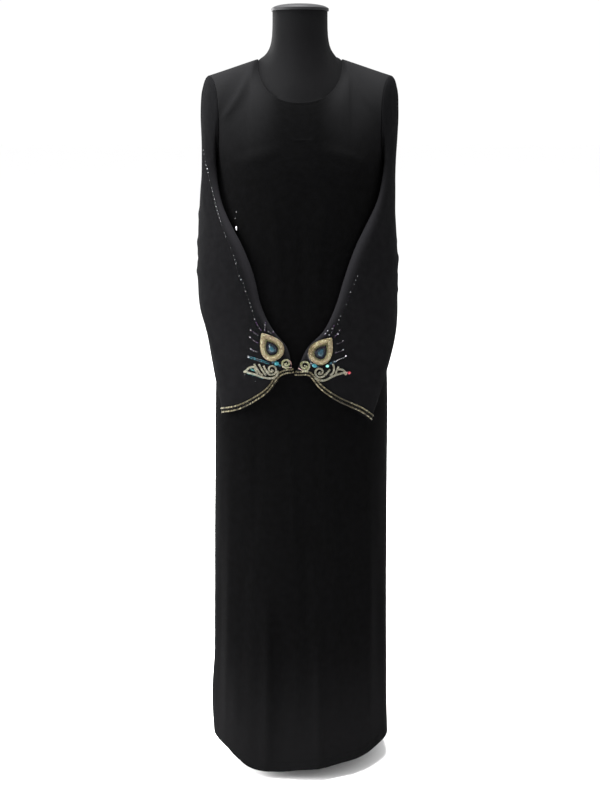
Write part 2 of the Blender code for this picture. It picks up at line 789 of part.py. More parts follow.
def add_teardrop(collection, cuff, tree, material):
    """A raised teardrop: a thick rim, a sunk field and a raised middle."""
    spec = TEARDROPS[cuff]
    tilt = math.radians(spec["tilt"])
    low = []
    high = []
    for size, lift in TEARDROP_PROFILE:
        size = max(size, TEARDROP_LEAST)
        lower_ring = []
        upper_ring = []
        for step in range(TEARDROP_STEPS):
            across, up = teardrop_outline(step / TEARDROP_STEPS)
            across *= TEARDROP_WIDTH * size
            up = TEARDROP_LENGTH * (TEARDROP_MIDDLE + (up - TEARDROP_MIDDLE) * size)
            x = spec["centre"][0] + across * math.cos(tilt) - up * math.sin(tilt)
            z = spec["centre"][1] + across * math.sin(tilt) + up * math.cos(tilt)
            lower_ring.append(on_sleeve(tree, x, z, TEARDROP_GAP))
            upper_ring.append(on_sleeve(tree, x, z, TEARDROP_GAP + lift))
        if size == TEARDROP_LEAST:
            lower_ring = [np.mean(lower_ring, axis=0)] * TEARDROP_STEPS
            upper_ring = [np.mean(upper_ring, axis=0)] * TEARDROP_STEPS
        low.append(lower_ring)
        high.append(upper_ring)
    mesh = layered_plate(f"teardrop_{cuff}", low, high)
    return add_object(collection, f"teardrop_{cuff}", mesh, material)


def add_cord(collection, name, tree, line, material):
    """A raised cord along a line of (x, height) points, with a flat underside on the sleeve."""
    line = np.array(line)
    along = np.gradient(line, axis=0)
    along /= np.linalg.norm(along, axis=1, keepdims=True)
    side = np.stack([-along[:, 1], along[:, 0]], axis=1)
    top = APPLIQUE_GAP + CORD_HEIGHT
    rings = []
    for place, across in zip(line, side):
        rings.append(
            [
                on_sleeve(tree, *(place - across * CORD_WIDTH / 2), APPLIQUE_GAP),
                on_sleeve(tree, *(place + across * CORD_WIDTH / 2), APPLIQUE_GAP),
                on_sleeve(tree, *(place + across * CORD_CREST / 2), top),
                on_sleeve(tree, *(place - across * CORD_CREST / 2), top),
            ]
        )
    corners = len(rings[0])
    points = np.concatenate(rings)
    faces = grid_faces(len(rings), corners, True)
    end = (len(rings) - 1) * corners
    faces += [*halves(*range(corners)), *halves(*range(end, end + corners))]
    return add_object(collection, name, closed_mesh(name, points, faces), material)


def spiral_line(spec):
    """Points of a spiral from its outer end inwards."""
    line = []
    for step in range(SCROLL_STEPS + 1):
        share = step / SCROLL_STEPS
        radius = spec["radius"] * (1 - share * (1 - SCROLL_INNER))
        angle = math.radians(spec["start"] + spec["spin"] * 360 * spec["turns"] * share)
        line.append((spec["x"] + radius * math.cos(angle), spec["height"] + radius * math.sin(angle)))
    return line


def add_leaf(collection, cuff, tree, material):
    """A pointed leaf with a raised rim and a raised vein."""
    spec = LEAVES[cuff]
    root = np.array(spec["root"])
    tip = np.array(spec["tip"])
    along = tip - root
    side = np.array((-along[1], along[0])) / np.linalg.norm(along)
    low = []
    high = []
    for step in range(LEAF_STEPS + 1):
        share = step / LEAF_STEPS
        bow = math.copysign(LEAF_BOW, along[0]) * math.sin(math.pi * share)
        middle = root + along * share - side * bow
        through = LEAF_ENDS[0] + (LEAF_ENDS[1] - LEAF_ENDS[0]) * share
        half = max(LEAF_WIDTH / 2 * math.sin(math.pi * through) ** LEAF_TAPER, LEAF_LEAST)
        for across, lift in LEAF_PROFILE:
            x, z = middle + side * half * across
            low.append(on_sleeve(tree, x, z, APPLIQUE_GAP))
            high.append(on_sleeve(tree, x, z, APPLIQUE_GAP + lift))
    rows = LEAF_STEPS + 1
    columns = len(LEAF_PROFILE)
    faces = grid_faces(rows, columns, False)
    shift = rows * columns
    faces += [tuple(shift + i for i in face) for face in grid_faces(rows, columns, False)]
    border = list(range(columns))
    border += [r * columns + columns - 1 for r in range(1, rows)]
    border += [(rows - 1) * columns + c for c in range(columns - 2, -1, -1)]
    border += [r * columns for r in range(rows - 2, 0, -1)]
    for a, b in zip(border, border[1:] + border[:1]):
        faces += halves(a, b, b + shift, a + shift)
    mesh = closed_mesh(f"leaf_{cuff}", np.array(low + high), faces)
    return add_object(collection, f"leaf_{cuff}", mesh, material)


def form_lower_ring(height):
    """A ring of the dress form below the armpit, in the order of a form ring."""
    ease = table_row(FORM_EASE, EASE_COLUMNS, height)
    ring = []
    for azimuth in form_azimuths():
        angle = math.radians(azimuth)
        facing = ease["front"] if math.cos(angle) > 0 else ease["back"]
        inset = facing * math.cos(angle) ** 2 + ease["side"] * math.sin(angle) ** 2
        ring.append(body_point(azimuth, height, -inset, folded=False))
    return ring


def form_azimuths():
    """Azimuths of a form ring's points: front from left to right, right plate, back, left plate."""
    front = [panel_azimuth("front", share) for share in panel_shares("front")]
    back = [panel_azimuth("back", share) for share in panel_shares("back")]
    return [*front, *[90.0] * PLATE_STEPS, *back, *[270.0] * PLATE_STEPS]


def form_upper_rings():
    """Rings from armpit to shoulders: the panels' points moved inwards, joined by flat arm plates."""
    inset = {}
    for panel in ("front", "back"):
        grid = np.array(
            [
                [upper_point(panel, share, rise) for share in panel_shares(panel)]
                for rise in upper_rises()
            ]
        )
        normals = grid_normals(grid, False)
        inset[panel] = grid - normals * FORM_INSET
        near_neck = np.array([1 - ease_in(2 * abs(share) - 1) for share in panel_shares(panel)])
        for row, part in EDGE_ROWS:
            inset[panel][row] -= normals[row] * EDGE_INSET * part * near_neck[:, None]
    front = inset["front"]
    back = inset["back"]
    side_seam = [(0, c) for c in (0, -1)]
    shoulder_seam = [(-1, c) for c in (*range(SEAM_STEPS + 1), *range(-SEAM_STEPS - 1, 0))]
    for row, c in side_seam + shoulder_seam:
        middle = (front[row, c] + back[row, -1 - c]) / 2
        front[row, c] = middle
        back[row, -1 - c] = middle
    for edge in (front[1:, 0], front[1:, -1], back[1:, 0], back[1:, -1]):
        edge[:, 0] -= np.sign(edge[:, 0]) * ARM_PLATE_INSET
    rings = []
    for r in range(UPPER_ROWS + 1):
        right = between(front[r, -1], back[r, 0], PLATE_STEPS)
        left = between(back[r, -1], front[r, 0], PLATE_STEPS)
        rings.append([*front[r], *right, *back[r], *left])
    return rings


def between(start, end, count):
    """Evenly spaced points strictly between two points."""
    return [start + (end - start) * k / (count + 1) for k in range(1, count + 1)]


def neck_rings(top_ring):
    """Rings from the neckline of the form to the top of its neck."""
    front_count = len(panel_shares("front"))
    first_back = front_count + PLATE_STEPS
    last_back = first_back + len(panel_shares("back"))
    front = range(SEAM_STEPS, front_count - SEAM_STEPS)
    back = range(first_back + SEAM_STEPS + 1, last_back - SEAM_STEPS - 1)
    base = [top_ring[i] for i in (*front, *back)]
    half_width = abs(base[0][0])
    rings = [base]
    for section in NECK_SECTIONS:
        size = dict(zip(NECK_COLUMNS, section))
        ring = []
        for i, point in enumerate(base):
            facing, sign = ("front", -1) if i < len(front) else ("back", 1)
            across = point[0] / half_width
            toward = math.sqrt(max(1 - across * across, 0.0))
            depth = size[f"{facing}_depth"] * toward
            height = size["side_height"] + (size[f"{facing}_height"] - size["side_height"]) * toward
            ring.append(np.array((size["half_width"] * across, sign * depth, height)))
        rings.append(ring)
    return rings


def add_form(collection, material):
    """The dress form's body: hips, waist, bust, flat arm plates, shoulders and neck in one closed solid."""
    upper = form_upper_rings()
    heights = [row[0] for row in FORM_EASE[:-1]]
    midway = [(a + b) / 2 for a, b in zip(heights, heights[1:])]
    lower = [form_lower_ring(height) for height in sorted(heights + midway)]
    torso = lower + upper
    neck = neck_rings(upper[-1])
    columns = len(torso[0])
    faces = grid_faces(len(torso), columns, True)
    points = [p for ring in torso for p in ring]
    faces.append(tuple(range(columns)))
    shift = len(points)
    neck_columns = len(neck[0])
    faces += [tuple(shift + i for i in face) for face in grid_faces(len(neck), neck_columns, True)]
    points += [p for ring in neck for p in ring]
    faces.append(tuple(range(len(points) - neck_columns, len(points))))
    mesh = closed_mesh("form_torso", np.array(points), faces)
    return add_object(collection, "form_torso", mesh, material)


def add_turned(collection, name, profile, height, material):
    """A turned solid: a profile from the top of its axis, down its outer side and back to the axis."""
    mesh = bpy.data.meshes.new(name)
    mesh.from_pydata([(x, 0, z) for x, z in profile], [(i, i + 1) for i in range(len(profile) - 1)], [])
    item = add_object(collection, name, mesh, material)
    item.location.z = height
    turn = item.modifiers.new("turn", "SCREW")
    turn.axis = "Z"
    turn.steps = ROUND_STEPS
    turn.render_steps = ROUND_STEPS
    turn.use_merge_vertices = True
    turn.merge_threshold = WELD
    return item


def add_base(collection, material):
    """The round base plate with its pole socket."""
    profile = (
        (0, HUB_HEIGHT),
        (HUB_RADIUS - EDGE_ROUND, HUB_HEIGHT),
        (HUB_RADIUS, HUB_HEIGHT - EDGE_ROUND),
        (HUB_RADIUS, BASE_THICKNESS + HUB_FLARE_HEIGHT),
        (HUB_RADIUS + HUB_FLARE, BASE_THICKNESS + BASE_CROWN),
        (BASE_RADIUS - EDGE_ROUND, BASE_THICKNESS),
        (BASE_RADIUS, BASE_THICKNESS - EDGE_ROUND),
        (BASE_RADIUS, 0),
        (0, 0),
    )
    return add_turned(collection, "stand_base", profile, 0.0, material)


def add_pole(collection, material):
    """The pole from the base's socket to the underside of the torso."""
    low = HUB_HEIGHT + PART_GAP
    high = FORM_EASE[0][0] - PART_GAP
    mesh = bpy.data.meshes.new("stand_pole")
    work = bmesh.new()
    bmesh.ops.create_cone(
        work, cap_ends=True, segments=POLE_STEPS, radius1=POLE_RADIUS, radius2=POLE_RADIUS, depth=high - low
    )
    work.to_mesh(mesh)
    work.free()
    item = add_object(collection, "stand_pole", mesh, material)
    item.location.z = (low + high) / 2
    return item


def add_neck_cap(collection, material):
    """The domed cap on top of the form's neck."""
    profile = [(0, 0)]
    for radius_share, height_share in NECK_CAP_PROFILE:
        profile.append((NECK_CAP_RADIUS * radius_share, NECK_CAP_HEIGHT * height_share))
    return add_turned(collection, "form_neck_cap", profile[::-1], NECK_SECTIONS[-1][3] + PART_GAP, material)


def main():
    clear_scene()
    collection = make_collection()
    for panel in ("front", "back"):
        cloth = make_material(f"{panel}_cloth", "body_cloth")
        add_cloth(collection, f"kaftan_{panel}", panel_grid(panel), False, cloth)
    for cuff in ("left", "right"):
        grid = sleeve_grid(cuff)
        cloth = make_material(f"sleeve_{cuff}_cloth", "sleeve_cloth")
        add_cloth(collection, f"sleeve_{cuff}", grid, True, cloth)
        add_edging(collection, cuff, grid, make_material(f"edging_{cuff}_beads", "bronze_beads"))
        tree = sleeve_tree(grid)
        add_teardrop(collection, cuff, tree, make_material(f"teardrop_{cuff}_gold", "gold_beads"))
        add_leaf(collection, cuff, tree, make_material(f"leaf_{cuff}_silver", "silver_beads"))
        for name, row in SCROLLS.items():
            spec = dict(zip(SCROLL_COLUMNS, row))
            if spec["cuff"] == cuff:
                cord = make_material(f"{name}_cord", "pale_cord")
                add_cord(collection, name, tree, spiral_line(spec), cord)
    add_form(collection, make_material("form_jersey", "jersey"))
    add_base(collection, make_material("stand_base_metal", "base_metal"))
    add_pole(collection, make_material("stand_pole_metal", "pole_metal"))
    add_neck_cap(collection, make_material("neck_cap_plastic", "plastic"))


main()
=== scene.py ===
"""The looks of a black kaftan with beaded cuffs, worn on a limbless dress form.

Metres, +Z up. The front faces -Y, and +X is on the right of someone looking at the front.
The cloth shells are drawn through the corners of the frame's own cloth walls, so they follow them exactly.
"""

import json
import math
import random
from types import SimpleNamespace

import bmesh
import bpy
import numpy as np
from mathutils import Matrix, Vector, noise
from mathutils.bvhtree import BVHTree

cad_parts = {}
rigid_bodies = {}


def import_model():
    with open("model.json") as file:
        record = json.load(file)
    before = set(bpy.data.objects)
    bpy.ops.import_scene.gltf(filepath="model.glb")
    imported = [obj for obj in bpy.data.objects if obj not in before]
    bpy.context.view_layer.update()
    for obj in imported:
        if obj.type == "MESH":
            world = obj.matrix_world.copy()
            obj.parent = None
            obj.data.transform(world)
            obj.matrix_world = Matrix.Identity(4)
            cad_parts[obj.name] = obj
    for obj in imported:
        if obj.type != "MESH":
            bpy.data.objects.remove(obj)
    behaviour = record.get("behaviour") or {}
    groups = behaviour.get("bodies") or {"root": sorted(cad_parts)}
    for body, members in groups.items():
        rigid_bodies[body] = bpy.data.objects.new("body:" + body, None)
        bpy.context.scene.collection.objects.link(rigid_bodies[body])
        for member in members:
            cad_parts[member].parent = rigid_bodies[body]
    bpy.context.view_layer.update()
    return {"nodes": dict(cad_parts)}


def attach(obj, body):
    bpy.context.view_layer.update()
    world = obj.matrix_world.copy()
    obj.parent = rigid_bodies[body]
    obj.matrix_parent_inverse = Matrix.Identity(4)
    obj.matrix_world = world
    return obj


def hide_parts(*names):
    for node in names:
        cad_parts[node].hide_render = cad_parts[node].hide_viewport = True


for leftover in list(bpy.data.objects):
    bpy.data.objects.remove(leftover)

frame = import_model()


def table(columns, *rows):
    """Rows whose values go by the names of their columns."""
    return [SimpleNamespace(**dict(zip(columns.split(), row))) for row in rows]


BODY = "root"
SIDES = {"left": -1, "right": 1}

# Camera, from the photo's viewpoint
CAMERA_PLACE = (0, -2.6, 1.4)
CAMERA_TILT = 13.2
IMAGE_HEIGHT = 800
FOCAL_PIXELS = 1276
SENSOR_HEIGHT = 36.0

# Studio
PAPER = 0.985
SKY = 1.02
FLOOR_REACH = 40.0
LIGHTS = table(
    "name place target size power",
    ("key", (-3.3, -0.5, 2.0), (0, 0, 0.8), 2.2, 310),
    ("top", (-0.4, -0.1, 4.4), (0, 0, 1.2), 1.8, 720),
    ("front", (-1.0, -3.0, 2.6), (0, 0, 0.8), 1.6, 4),
    ("back", (-2.4, 3.0, 2.4), (0, 0, 0.8), 1.6, 170),
)

# Cloth walls in the frame
CAD_WALL = 0.0015
WALL_TOLERANCE = 0.00003
WELD_DISTANCE = 0.00002
CROWDED = 0.0009
SQUARE_ENOUGH = 0.27
ARMPIT_HEIGHT = 1.27
NECK_ROWS = 5

# Cloth shells. Edge, hem and neck places are rows or columns of points that far from an edge.
CLOTH_THICKNESS = 0.0009
PANEL_STEPS = (0.0065, 0.0046)
SLEEVE_STEPS = (0.0042, 0.0038)
EDGE_PLACES = (0.0008, 0.0017, 0.003)
HEM_STITCH = 0.021
HEM_PLACES = (0.019, 0.0202, 0.021, 0.0218, 0.023)
NECK_STITCH = 0.006
NECK_PLACES = (0.0048, 0.006, 0.0072)
NECK_BLEND = 0.004
CHEST_LINE_HEIGHT = 1.3258
CHEST_LINE_PLACES = (-0.0034, -0.0017, 0.0, 0.0017, 0.0034)
STITCH_SINK = 0.00022
STITCH_SINK_WIDTH = 0.0011
SIDE_SEAM_REACH = 0.0003
ARMHOLE_REACH = 0.0006
SEAM_PINCH = 0.0006
SEAM_PINCH_WIDTH = 0.0016
EDGE_ROLL = 0.0003
EDGE_CALM = 0.012
SLEEVE_END_CALM = (0.015, 0.02)
RIPPLE_DEPTH = 0.001
RIPPLE_SIZE = (0.07, 0.07, 0.26)
RIPPLE_CALM = (1.05, 1.235)
SLEEVE_RIPPLE_CALM = (0.75, 0.9)
SNUG_LEAST = -0.0007
BODY_RADIUS = 0.165

# Creases: ridges where the depth is positive, troughs where it isn't. Bow is how far the middle lies off
# the straight. On front and back below the armpits, places are plan angles from -Y towards +X and heights.
CREASE = "from_across from_up to_across to_up bow half_width depth"
SKIRT_CREASES = table(
    CREASE,
    (-25, 0.4, -26, 0.02, 0.004, 0.012, 0.0074),
    (-14, 0.35, -15, 0.03, 0.003, 0.019, -0.0042),
    (-40, 0.6, -44, 0.05, -0.004, 0.016, -0.0031),
    (-49, 0.21, -48, 0.11, 0.002, 0.016, 0.0039),
    (-56, 0.72, -60, 0.06, 0.004, 0.012, 0.0025),
    (-68, 0.5, -70, 0.04, 0.0, 0.014, -0.0026),
    (-84, 0.62, -81, 0.05, 0.003, 0.012, 0.002),
    (-33, 0.78, -35, 0.52, 0.002, 0.01, -0.0015),
    (-8, 0.76, -4, 0.45, 0.003, 0.01, 0.0017),
    (4, 0.52, 5, 0.08, 0.004, 0.014, -0.0028),
    (14, 0.31, 14, 0.03, 0.0, 0.009, 0.0039),
    (19, 0.77, 21, 0.48, -0.003, 0.01, 0.0015),
    (27, 0.66, 32, 0.05, -0.006, 0.012, 0.0025),
    (39, 0.55, 41, 0.04, 0.004, 0.015, -0.0036),
    (52, 0.7, 55, 0.03, 0.003, 0.011, 0.0034),
    (63, 0.48, 66, 0.05, 0.0, 0.013, -0.0024),
    (79, 0.64, 77, 0.045, -0.003, 0.012, 0.0016),
    (102, 0.66, 100, 0.05, 0.004, 0.012, 0.0031),
    (120, 0.58, 123, 0.04, -0.004, 0.015, -0.0042),
    (136, 0.75, 138, 0.05, 0.005, 0.013, 0.0045),
    (150, 0.5, 149, 0.03, 0.0, 0.01, -0.0031),
    (163, 0.82, 166, 0.05, -0.006, 0.015, 0.0036),
    (178, 0.62, 180, 0.04, 0.004, 0.013, -0.0042),
    (190, 0.78, 192, 0.05, 0.004, 0.012, 0.0042),
    (205, 0.46, 206, 0.03, 0.0, 0.011, -0.0034),
    (218, 0.7, 221, 0.05, -0.005, 0.014, 0.0042),
    (235, 0.6, 238, 0.04, 0.004, 0.012, -0.0036),
    (250, 0.8, 252, 0.06, 0.005, 0.012, 0.0031),
    (262, 0.44, 263, 0.04, 0.0, 0.012, -0.0031),
    (150, 1.02, 176, 0.9, 0.01, 0.013, 0.0018),
    (204, 1.05, 184, 0.93, -0.01, 0.012, 0.0015),
    (138, 0.98, 164, 0.945, -0.012, 0.009, 0.0013),
    (222, 0.96, 200, 0.92, 0.01, 0.009, 0.0012),
    (-22, 1.21, -17, 0.99, 0.006, 0.012, 0.0015),
    (20, 1.22, 14, 1.01, -0.006, 0.011, 0.0013),
    (0, 1.19, 2, 0.97, 0.003, 0.009, -0.0012),
    (112, 1.24, 118, 1.04, 0.006, 0.01, 0.0016),
    (247, 1.23, 240, 1.05, -0.006, 0.011, 0.0017),
)
# On chest and upper back, places are x and height
CHEST_CREASES = {
    "front": table(
        CREASE,
        (-0.1, 1.448, -0.149, 1.366, 0.004, 0.0065, 0.0038),
        (-0.088, 1.436, -0.136, 1.35, 0.004, 0.006, -0.0007),
        (0.103, 1.446, 0.141, 1.386, -0.003, 0.006, 0.0022),
        (0.094, 1.436, 0.13, 1.378, -0.003, 0.005, -0.0006),
        (-0.01, 1.3262, 0.038, 1.3254, 0.0006, 0.0017, 0.0009),
        (-0.09, 1.306, -0.082, 1.28, 0.0, 0.038, 0.005),
        (0.09, 1.308, 0.082, 1.284, 0.0, 0.036, 0.0046),
        (-0.15, 1.302, -0.104, 1.262, 0.006, 0.007, 0.0013),
        (0.15, 1.312, 0.107, 1.268, -0.006, 0.007, 0.0012),
        (-0.066, 1.452, -0.05, 1.398, 0.002, 0.0045, 0.0008),
        (0.067, 1.452, 0.053, 1.402, -0.002, 0.0045, 0.0007),
    ),
    "back": table(
        CREASE,
        (-0.124, 1.362, -0.03, 1.33, -0.012, 0.011, 0.0014),
        (0.12, 1.35, 0.04, 1.326, 0.012, 0.011, 0.0013),
        (-0.004, 1.43, 0.002, 1.3, 0.004, 0.009, 0.001),
        (-0.11, 1.43, -0.13, 1.37, -0.004, 0.007, 0.0012),
        (0.108, 1.432, 0.131, 1.376, 0.004, 0.007, 0.0011),
    ),
}
# On a sleeve, places are the angle round it (0 front fold, 90 outer face, 180 back fold, 270 underneath)
# and the share of the way from armhole to cuff
SLEEVE_CREASES = {
    "left": table(
        CREASE,
        (2, 0.42, 0, 0.82, 0.0, 0.018, 0.0045),
        (12, 0.2, 12, 0.83, 0.0, 0.0023, -0.0009),
        (172, 0.4, 98, 0.465, 0.007, 0.007, 0.0024),
        (174, 0.455, 104, 0.5, -0.004, 0.006, -0.0018),
        (168, 0.52, 112, 0.56, 0.006, 0.007, 0.002),
        (152, 0.32, 84, 0.375, 0.005, 0.007, 0.0015),
        (60, 0.15, 48, 0.6, 0.008, 0.009, 0.0012),
        (118, 0.11, 112, 0.39, -0.006, 0.011, 0.0019),
        (36, 0.52, 30, 0.8, 0.004, 0.007, 0.001),
        (146, 0.6, 134, 0.93, 0.005, 0.009, 0.0018),
        (166, 0.64, 158, 0.9, 0.004, 0.006, -0.0013),
        (100, 0.02, 86, 0.16, 0.004, 0.007, 0.0016),
        (72, 0.03, 62, 0.13, -0.004, 0.006, 0.0012),
        (132, 0.03, 137, 0.15, 0.004, 0.007, 0.0013),
        (232, 0.36, 250, 0.43, 0.004, 0.008, -0.0012),
        (300, 0.5, 284, 0.6, 0.004, 0.008, -0.001),
    ),
    "right": table(
        CREASE,
        (2, 0.4, 0, 0.82, 0.0, 0.02, 0.006),
        (12, 0.18, 12, 0.8, 0.0, 0.0023, -0.0009),
        (174, 0.38, 108, 0.43, -0.006, 0.0065, 0.0021),
        (170, 0.45, 96, 0.52, 0.008, 0.0075, 0.0022),
        (172, 0.49, 118, 0.535, 0.004, 0.005, -0.0015),
        (160, 0.56, 120, 0.59, -0.004, 0.006, 0.0013),
        (66, 0.12, 58, 0.47, -0.007, 0.01, 0.0014),
        (126, 0.09, 118, 0.34, 0.006, 0.01, 0.0015),
        (30, 0.48, 28, 0.78, 0.003, 0.007, 0.0011),
        (150, 0.62, 138, 0.9, -0.005, 0.009, 0.0016),
        (104, 0.025, 96, 0.13, 0.003, 0.007, 0.0013),
        (76, 0.03, 70, 0.17, 0.004, 0.006, 0.0014),
        (140, 0.04, 146, 0.13, -0.003, 0.006, 0.0011),
        (238, 0.4, 252, 0.48, 0.004, 0.008, -0.0012),
        (296, 0.56, 286, 0.64, 0.004, 0.008, -0.001),
    ),
}
CREASE_STEPS = 16
CREASE_TAPER = (0.92, 0.04, 0.6)
SLEEVE_ROUND = 0.33

# Cuff work, at the places of the frame's own solids. A pair is x and height in the straight front view.
TEARDROPS = {"left": ((-0.0583, 0.934), 32), "right": ((0.044, 0.9265), -36)}
TEARDROP_LENGTH = 0.06
TEARDROP_WIDTH = 0.044
TEARDROP_MIDDLE = -0.12
TEARDROP_TAPER = 0.9
TEARDROP_FULLEST = 0.77
# Its padded backing, from border to middle: a share of the full size, and how far off the cloth
TEARDROP_PAD = (
    (1.0, 0.0002), (0.93, 0.0019), (0.66, 0.0025), (0.6, 0.0012), (0.42, 0.0012),
    (0.3, 0.002), (0.02, 0.0022),
)
TEARDROP_STONE = 0.24
TEARDROP_SINK = 0.0016
STONE_TABLE = 0.62
STONE_GIRDLE = 0.001
STONE_RISE = 0.0021
STONE_SHADES = (0.0, 0.42)
TEARDROP_STRINGS = table(
    "size bead length width lift material low high",
    (0.955, "ball", 0.0025, 0.002, 0.0014, 0, 0.05, 1.0),
    (0.86, "rod", 0.003, 0.0017, 0.0023, 0, 0.15, 0.95),
    (0.775, "ball", 0.0018, 0.0018, 0.0025, 0, 0.4, 1.0),
    (0.695, "rod", 0.003, 0.0016, 0.0023, 0, 0.15, 0.95),
    (0.62, "ball", 0.0016, 0.0015, 0.0015, 0, 0.0, 0.8),
    (0.545, "ball", 0.0015, 0.0014, 0.0011, 4, 0.0, 0.35),
    (0.465, "ball", 0.0015, 0.0014, 0.0011, 1, 0.0, 0.8),
    (0.385, "ball", 0.0015, 0.0014, 0.0011, 1, 0.0, 0.8),
    (0.31, "ball", 0.0015, 0.0014, 0.0011, 2, 0.0, 0.4),
)
# Patches of other colours in the pale gold: how far round the outline and how deep they reach
TINT = "from_angle to_angle above_size shade share"
TEARDROP_TINTS = {
    "left": table(TINT, (20, 120, 0.8, 0.52, 0.45)),
    "right": table(TINT, (215, 265, 0.65, 0.05, 0.55), (160, 205, 0.8, 0.52, 0.6)),
}

# Leaves, from root to tip
LEAVES = {
    "left": ((-0.067, 0.885), (-0.109, 0.881)),
    "right": ((0.0505, 0.8815), (0.0925, 0.8805)),
}
LEAF_WIDTH = 0.02
LEAF_BOW = 0.0045
LEAF_ENDS = (0.1, 0.98)
LEAF_TAPER = 0.8
LEAF_LEAST = 0.0006
LEAF_PAD = 0.001
LEAF_RINGS = ((1.0, 0.0002), (0.98, LEAF_PAD), (0.5, LEAF_PAD), (0.05, LEAF_PAD))
# The material, lowest and highest shade of the beads of a colour
LEAF_SHADES = {"silver": (0, 0.2, 1.0), "teal": (1, 0.25, 0.95)}
STRAND = "colour size apart points"
LEAF_EDGE = ("silver", 0.002, 0.0021)
LEAF_CURL = ("silver", 0.0019, 0.0019)
FROND = ("silver", 0.0018, 0.0019)
LEAF_STRINGS = {
    "left": table(
        STRAND,
        (
            *LEAF_EDGE,
            (
                (-0.043, 0.885), (-0.0461, 0.8754), (-0.0582, 0.8704), (-0.0729, 0.8724), (-0.089, 0.8768),
                (-0.1037, 0.8798), (-0.1092, 0.8798),
            ),
        ),
        ("teal", 0.0013, 0.0, ((-0.0729, 0.87), (-0.089, 0.8744), (-0.1037, 0.8772))),
        (*LEAF_CURL, ((-0.089, 0.8918), (-0.0988, 0.8892), (-0.1049, 0.883), (-0.1092, 0.8798))),
        (*FROND, ((-0.089, 0.8904), (-0.0862, 0.8842), (-0.0827, 0.878))),
        (*FROND, ((-0.089, 0.8968), (-0.0841, 0.888), (-0.0778, 0.8792), (-0.0729, 0.8768))),
        (*FROND, ((-0.0798, 0.8968), (-0.0729, 0.8854), (-0.0668, 0.8768))),
        (*FROND, ((-0.0706, 0.8942), (-0.0668, 0.8868), (-0.0608, 0.8812))),
        ("teal", 0.0014, 0.0016, ((-0.0962, 0.8868), (-0.09, 0.8846), (-0.0866, 0.8826))),
    ),
    "right": table(
        STRAND,
        (
            *LEAF_EDGE,
            (
                (0.0298, 0.872), (0.0397, 0.867), (0.0506, 0.868), (0.0665, 0.8755), (0.0842, 0.8803),
                (0.0895, 0.8767),
            ),
        ),
        (*LEAF_CURL, ((0.0741, 0.8877), (0.0825, 0.8866), (0.0888, 0.8805), (0.0895, 0.8767))),
        (*FROND, ((0.0496, 0.8779), (0.054, 0.883), (0.058, 0.8877))),
        (*FROND, ((0.0594, 0.8767), (0.0649, 0.8828), (0.0661, 0.8903), (0.0643, 0.8976))),
        (*FROND, ((0.0692, 0.8779), (0.0715, 0.8854), (0.0747, 0.8927))),
    ),
}

SCROLLS = table(
    "name cuff x height radius turns start spin shifts",
    ("leaf_scroll_left", "left", -0.055, 0.888, 0.0105, 1.35, 200, 1, (0.0, 0.0018)),
    ("leaf_scroll_right", "right", 0.0385, 0.8835, 0.0105, 1.35, -20, -1, (0.0, 0.0018)),
    ("curl_left", "left", -0.027, 0.9005, 0.0078, 1.3, -60, -1, (0.0006, 0.0024)),
    ("curl_right", "right", 0.0095, 0.896, 0.008, 1.3, 240, 1, (0.0014, 0.0033)),
)
SCROLL_INNER = 0.22
SCROLL_STEPS = 40
SCROLL_BEAD = (0.0018 * 1.1, 0.0018)
SCROLL_LIFT = 0.0011
SCROLL_PEARL = 0.0026
SCROLL_SHADES = (0.1, 1.0)
SCROLL_PEARL_SHADE = 0.85

RAY = "colour length width spread low high points"
NIGHT_RAY = ("night", 0.0028, 0.0014, 1.45, 0.0, 1.0)
TEAL_RAY = ("teal", 0.0034, 0.0014, 1.1, 0.1, 0.6)
RAYS = {
    "left": table(
        RAY,
        ("rose", 0.0016, 0.0016, 1.05, 0.75, 1.0, ((-0.0337, 0.893), (-0.026, 0.8925), (-0.018, 0.8915))),
        ("rose", 0.0015, 0.0015, 1.1, 0.6, 0.95, ((-0.025, 0.908), (-0.0195, 0.9035), (-0.0182, 0.898))),
        (*TEAL_RAY, ((-0.0988, 0.9119), (-0.0608, 0.9019))),
        (*TEAL_RAY, ((-0.0984, 0.9089), (-0.0612, 0.8989))),
        (*NIGHT_RAY, ((-0.082, 0.922), (-0.0935, 0.9255))),
        (*NIGHT_RAY, ((-0.083, 0.94), (-0.095, 0.948))),
        (*NIGHT_RAY, ((-0.081, 0.955), (-0.094, 0.9625))),
        (*NIGHT_RAY, ((-0.076, 0.965), (-0.085, 0.979))),
        (*NIGHT_RAY, ((-0.068, 0.964), (-0.0665, 0.979))),
        (*NIGHT_RAY, ((-0.056, 0.958), (-0.052, 0.9605))),
        ("silver", 0.0011, 0.0011, 1.6, 0.0, 0.4, ((-0.0619, 0.963), (-0.0559, 0.958))),
    ),
    "right": table(
        RAY,
        ("rose", 0.0015, 0.0015, 1.05, 0.75, 1.0, ((0.0025, 0.888), (-0.002, 0.89))),
        ("silver", 0.003, 0.0011, 1.3, 0.0, 0.3, ((0.066, 0.902), (0.088, 0.912))),
        ("silver", 0.0015, 0.0015, 1.1, 0.1, 0.5, ((0.0152, 0.9198), (0.0176, 0.91), (0.0212, 0.904))),
        (*NIGHT_RAY, ((0.07, 0.92), (0.082, 0.923))),
        (*NIGHT_RAY, ((0.0725, 0.937), (0.085, 0.943))),
        (*NIGHT_RAY, ((0.068, 0.952), (0.079, 0.965))),
        (*NIGHT_RAY, ((0.062, 0.959), (0.066, 0.974))),
        (*NIGHT_RAY, ((0.049, 0.957), (0.05, 0.962))),
    ),
}
GEM = "colour cut x height length width turn shade"
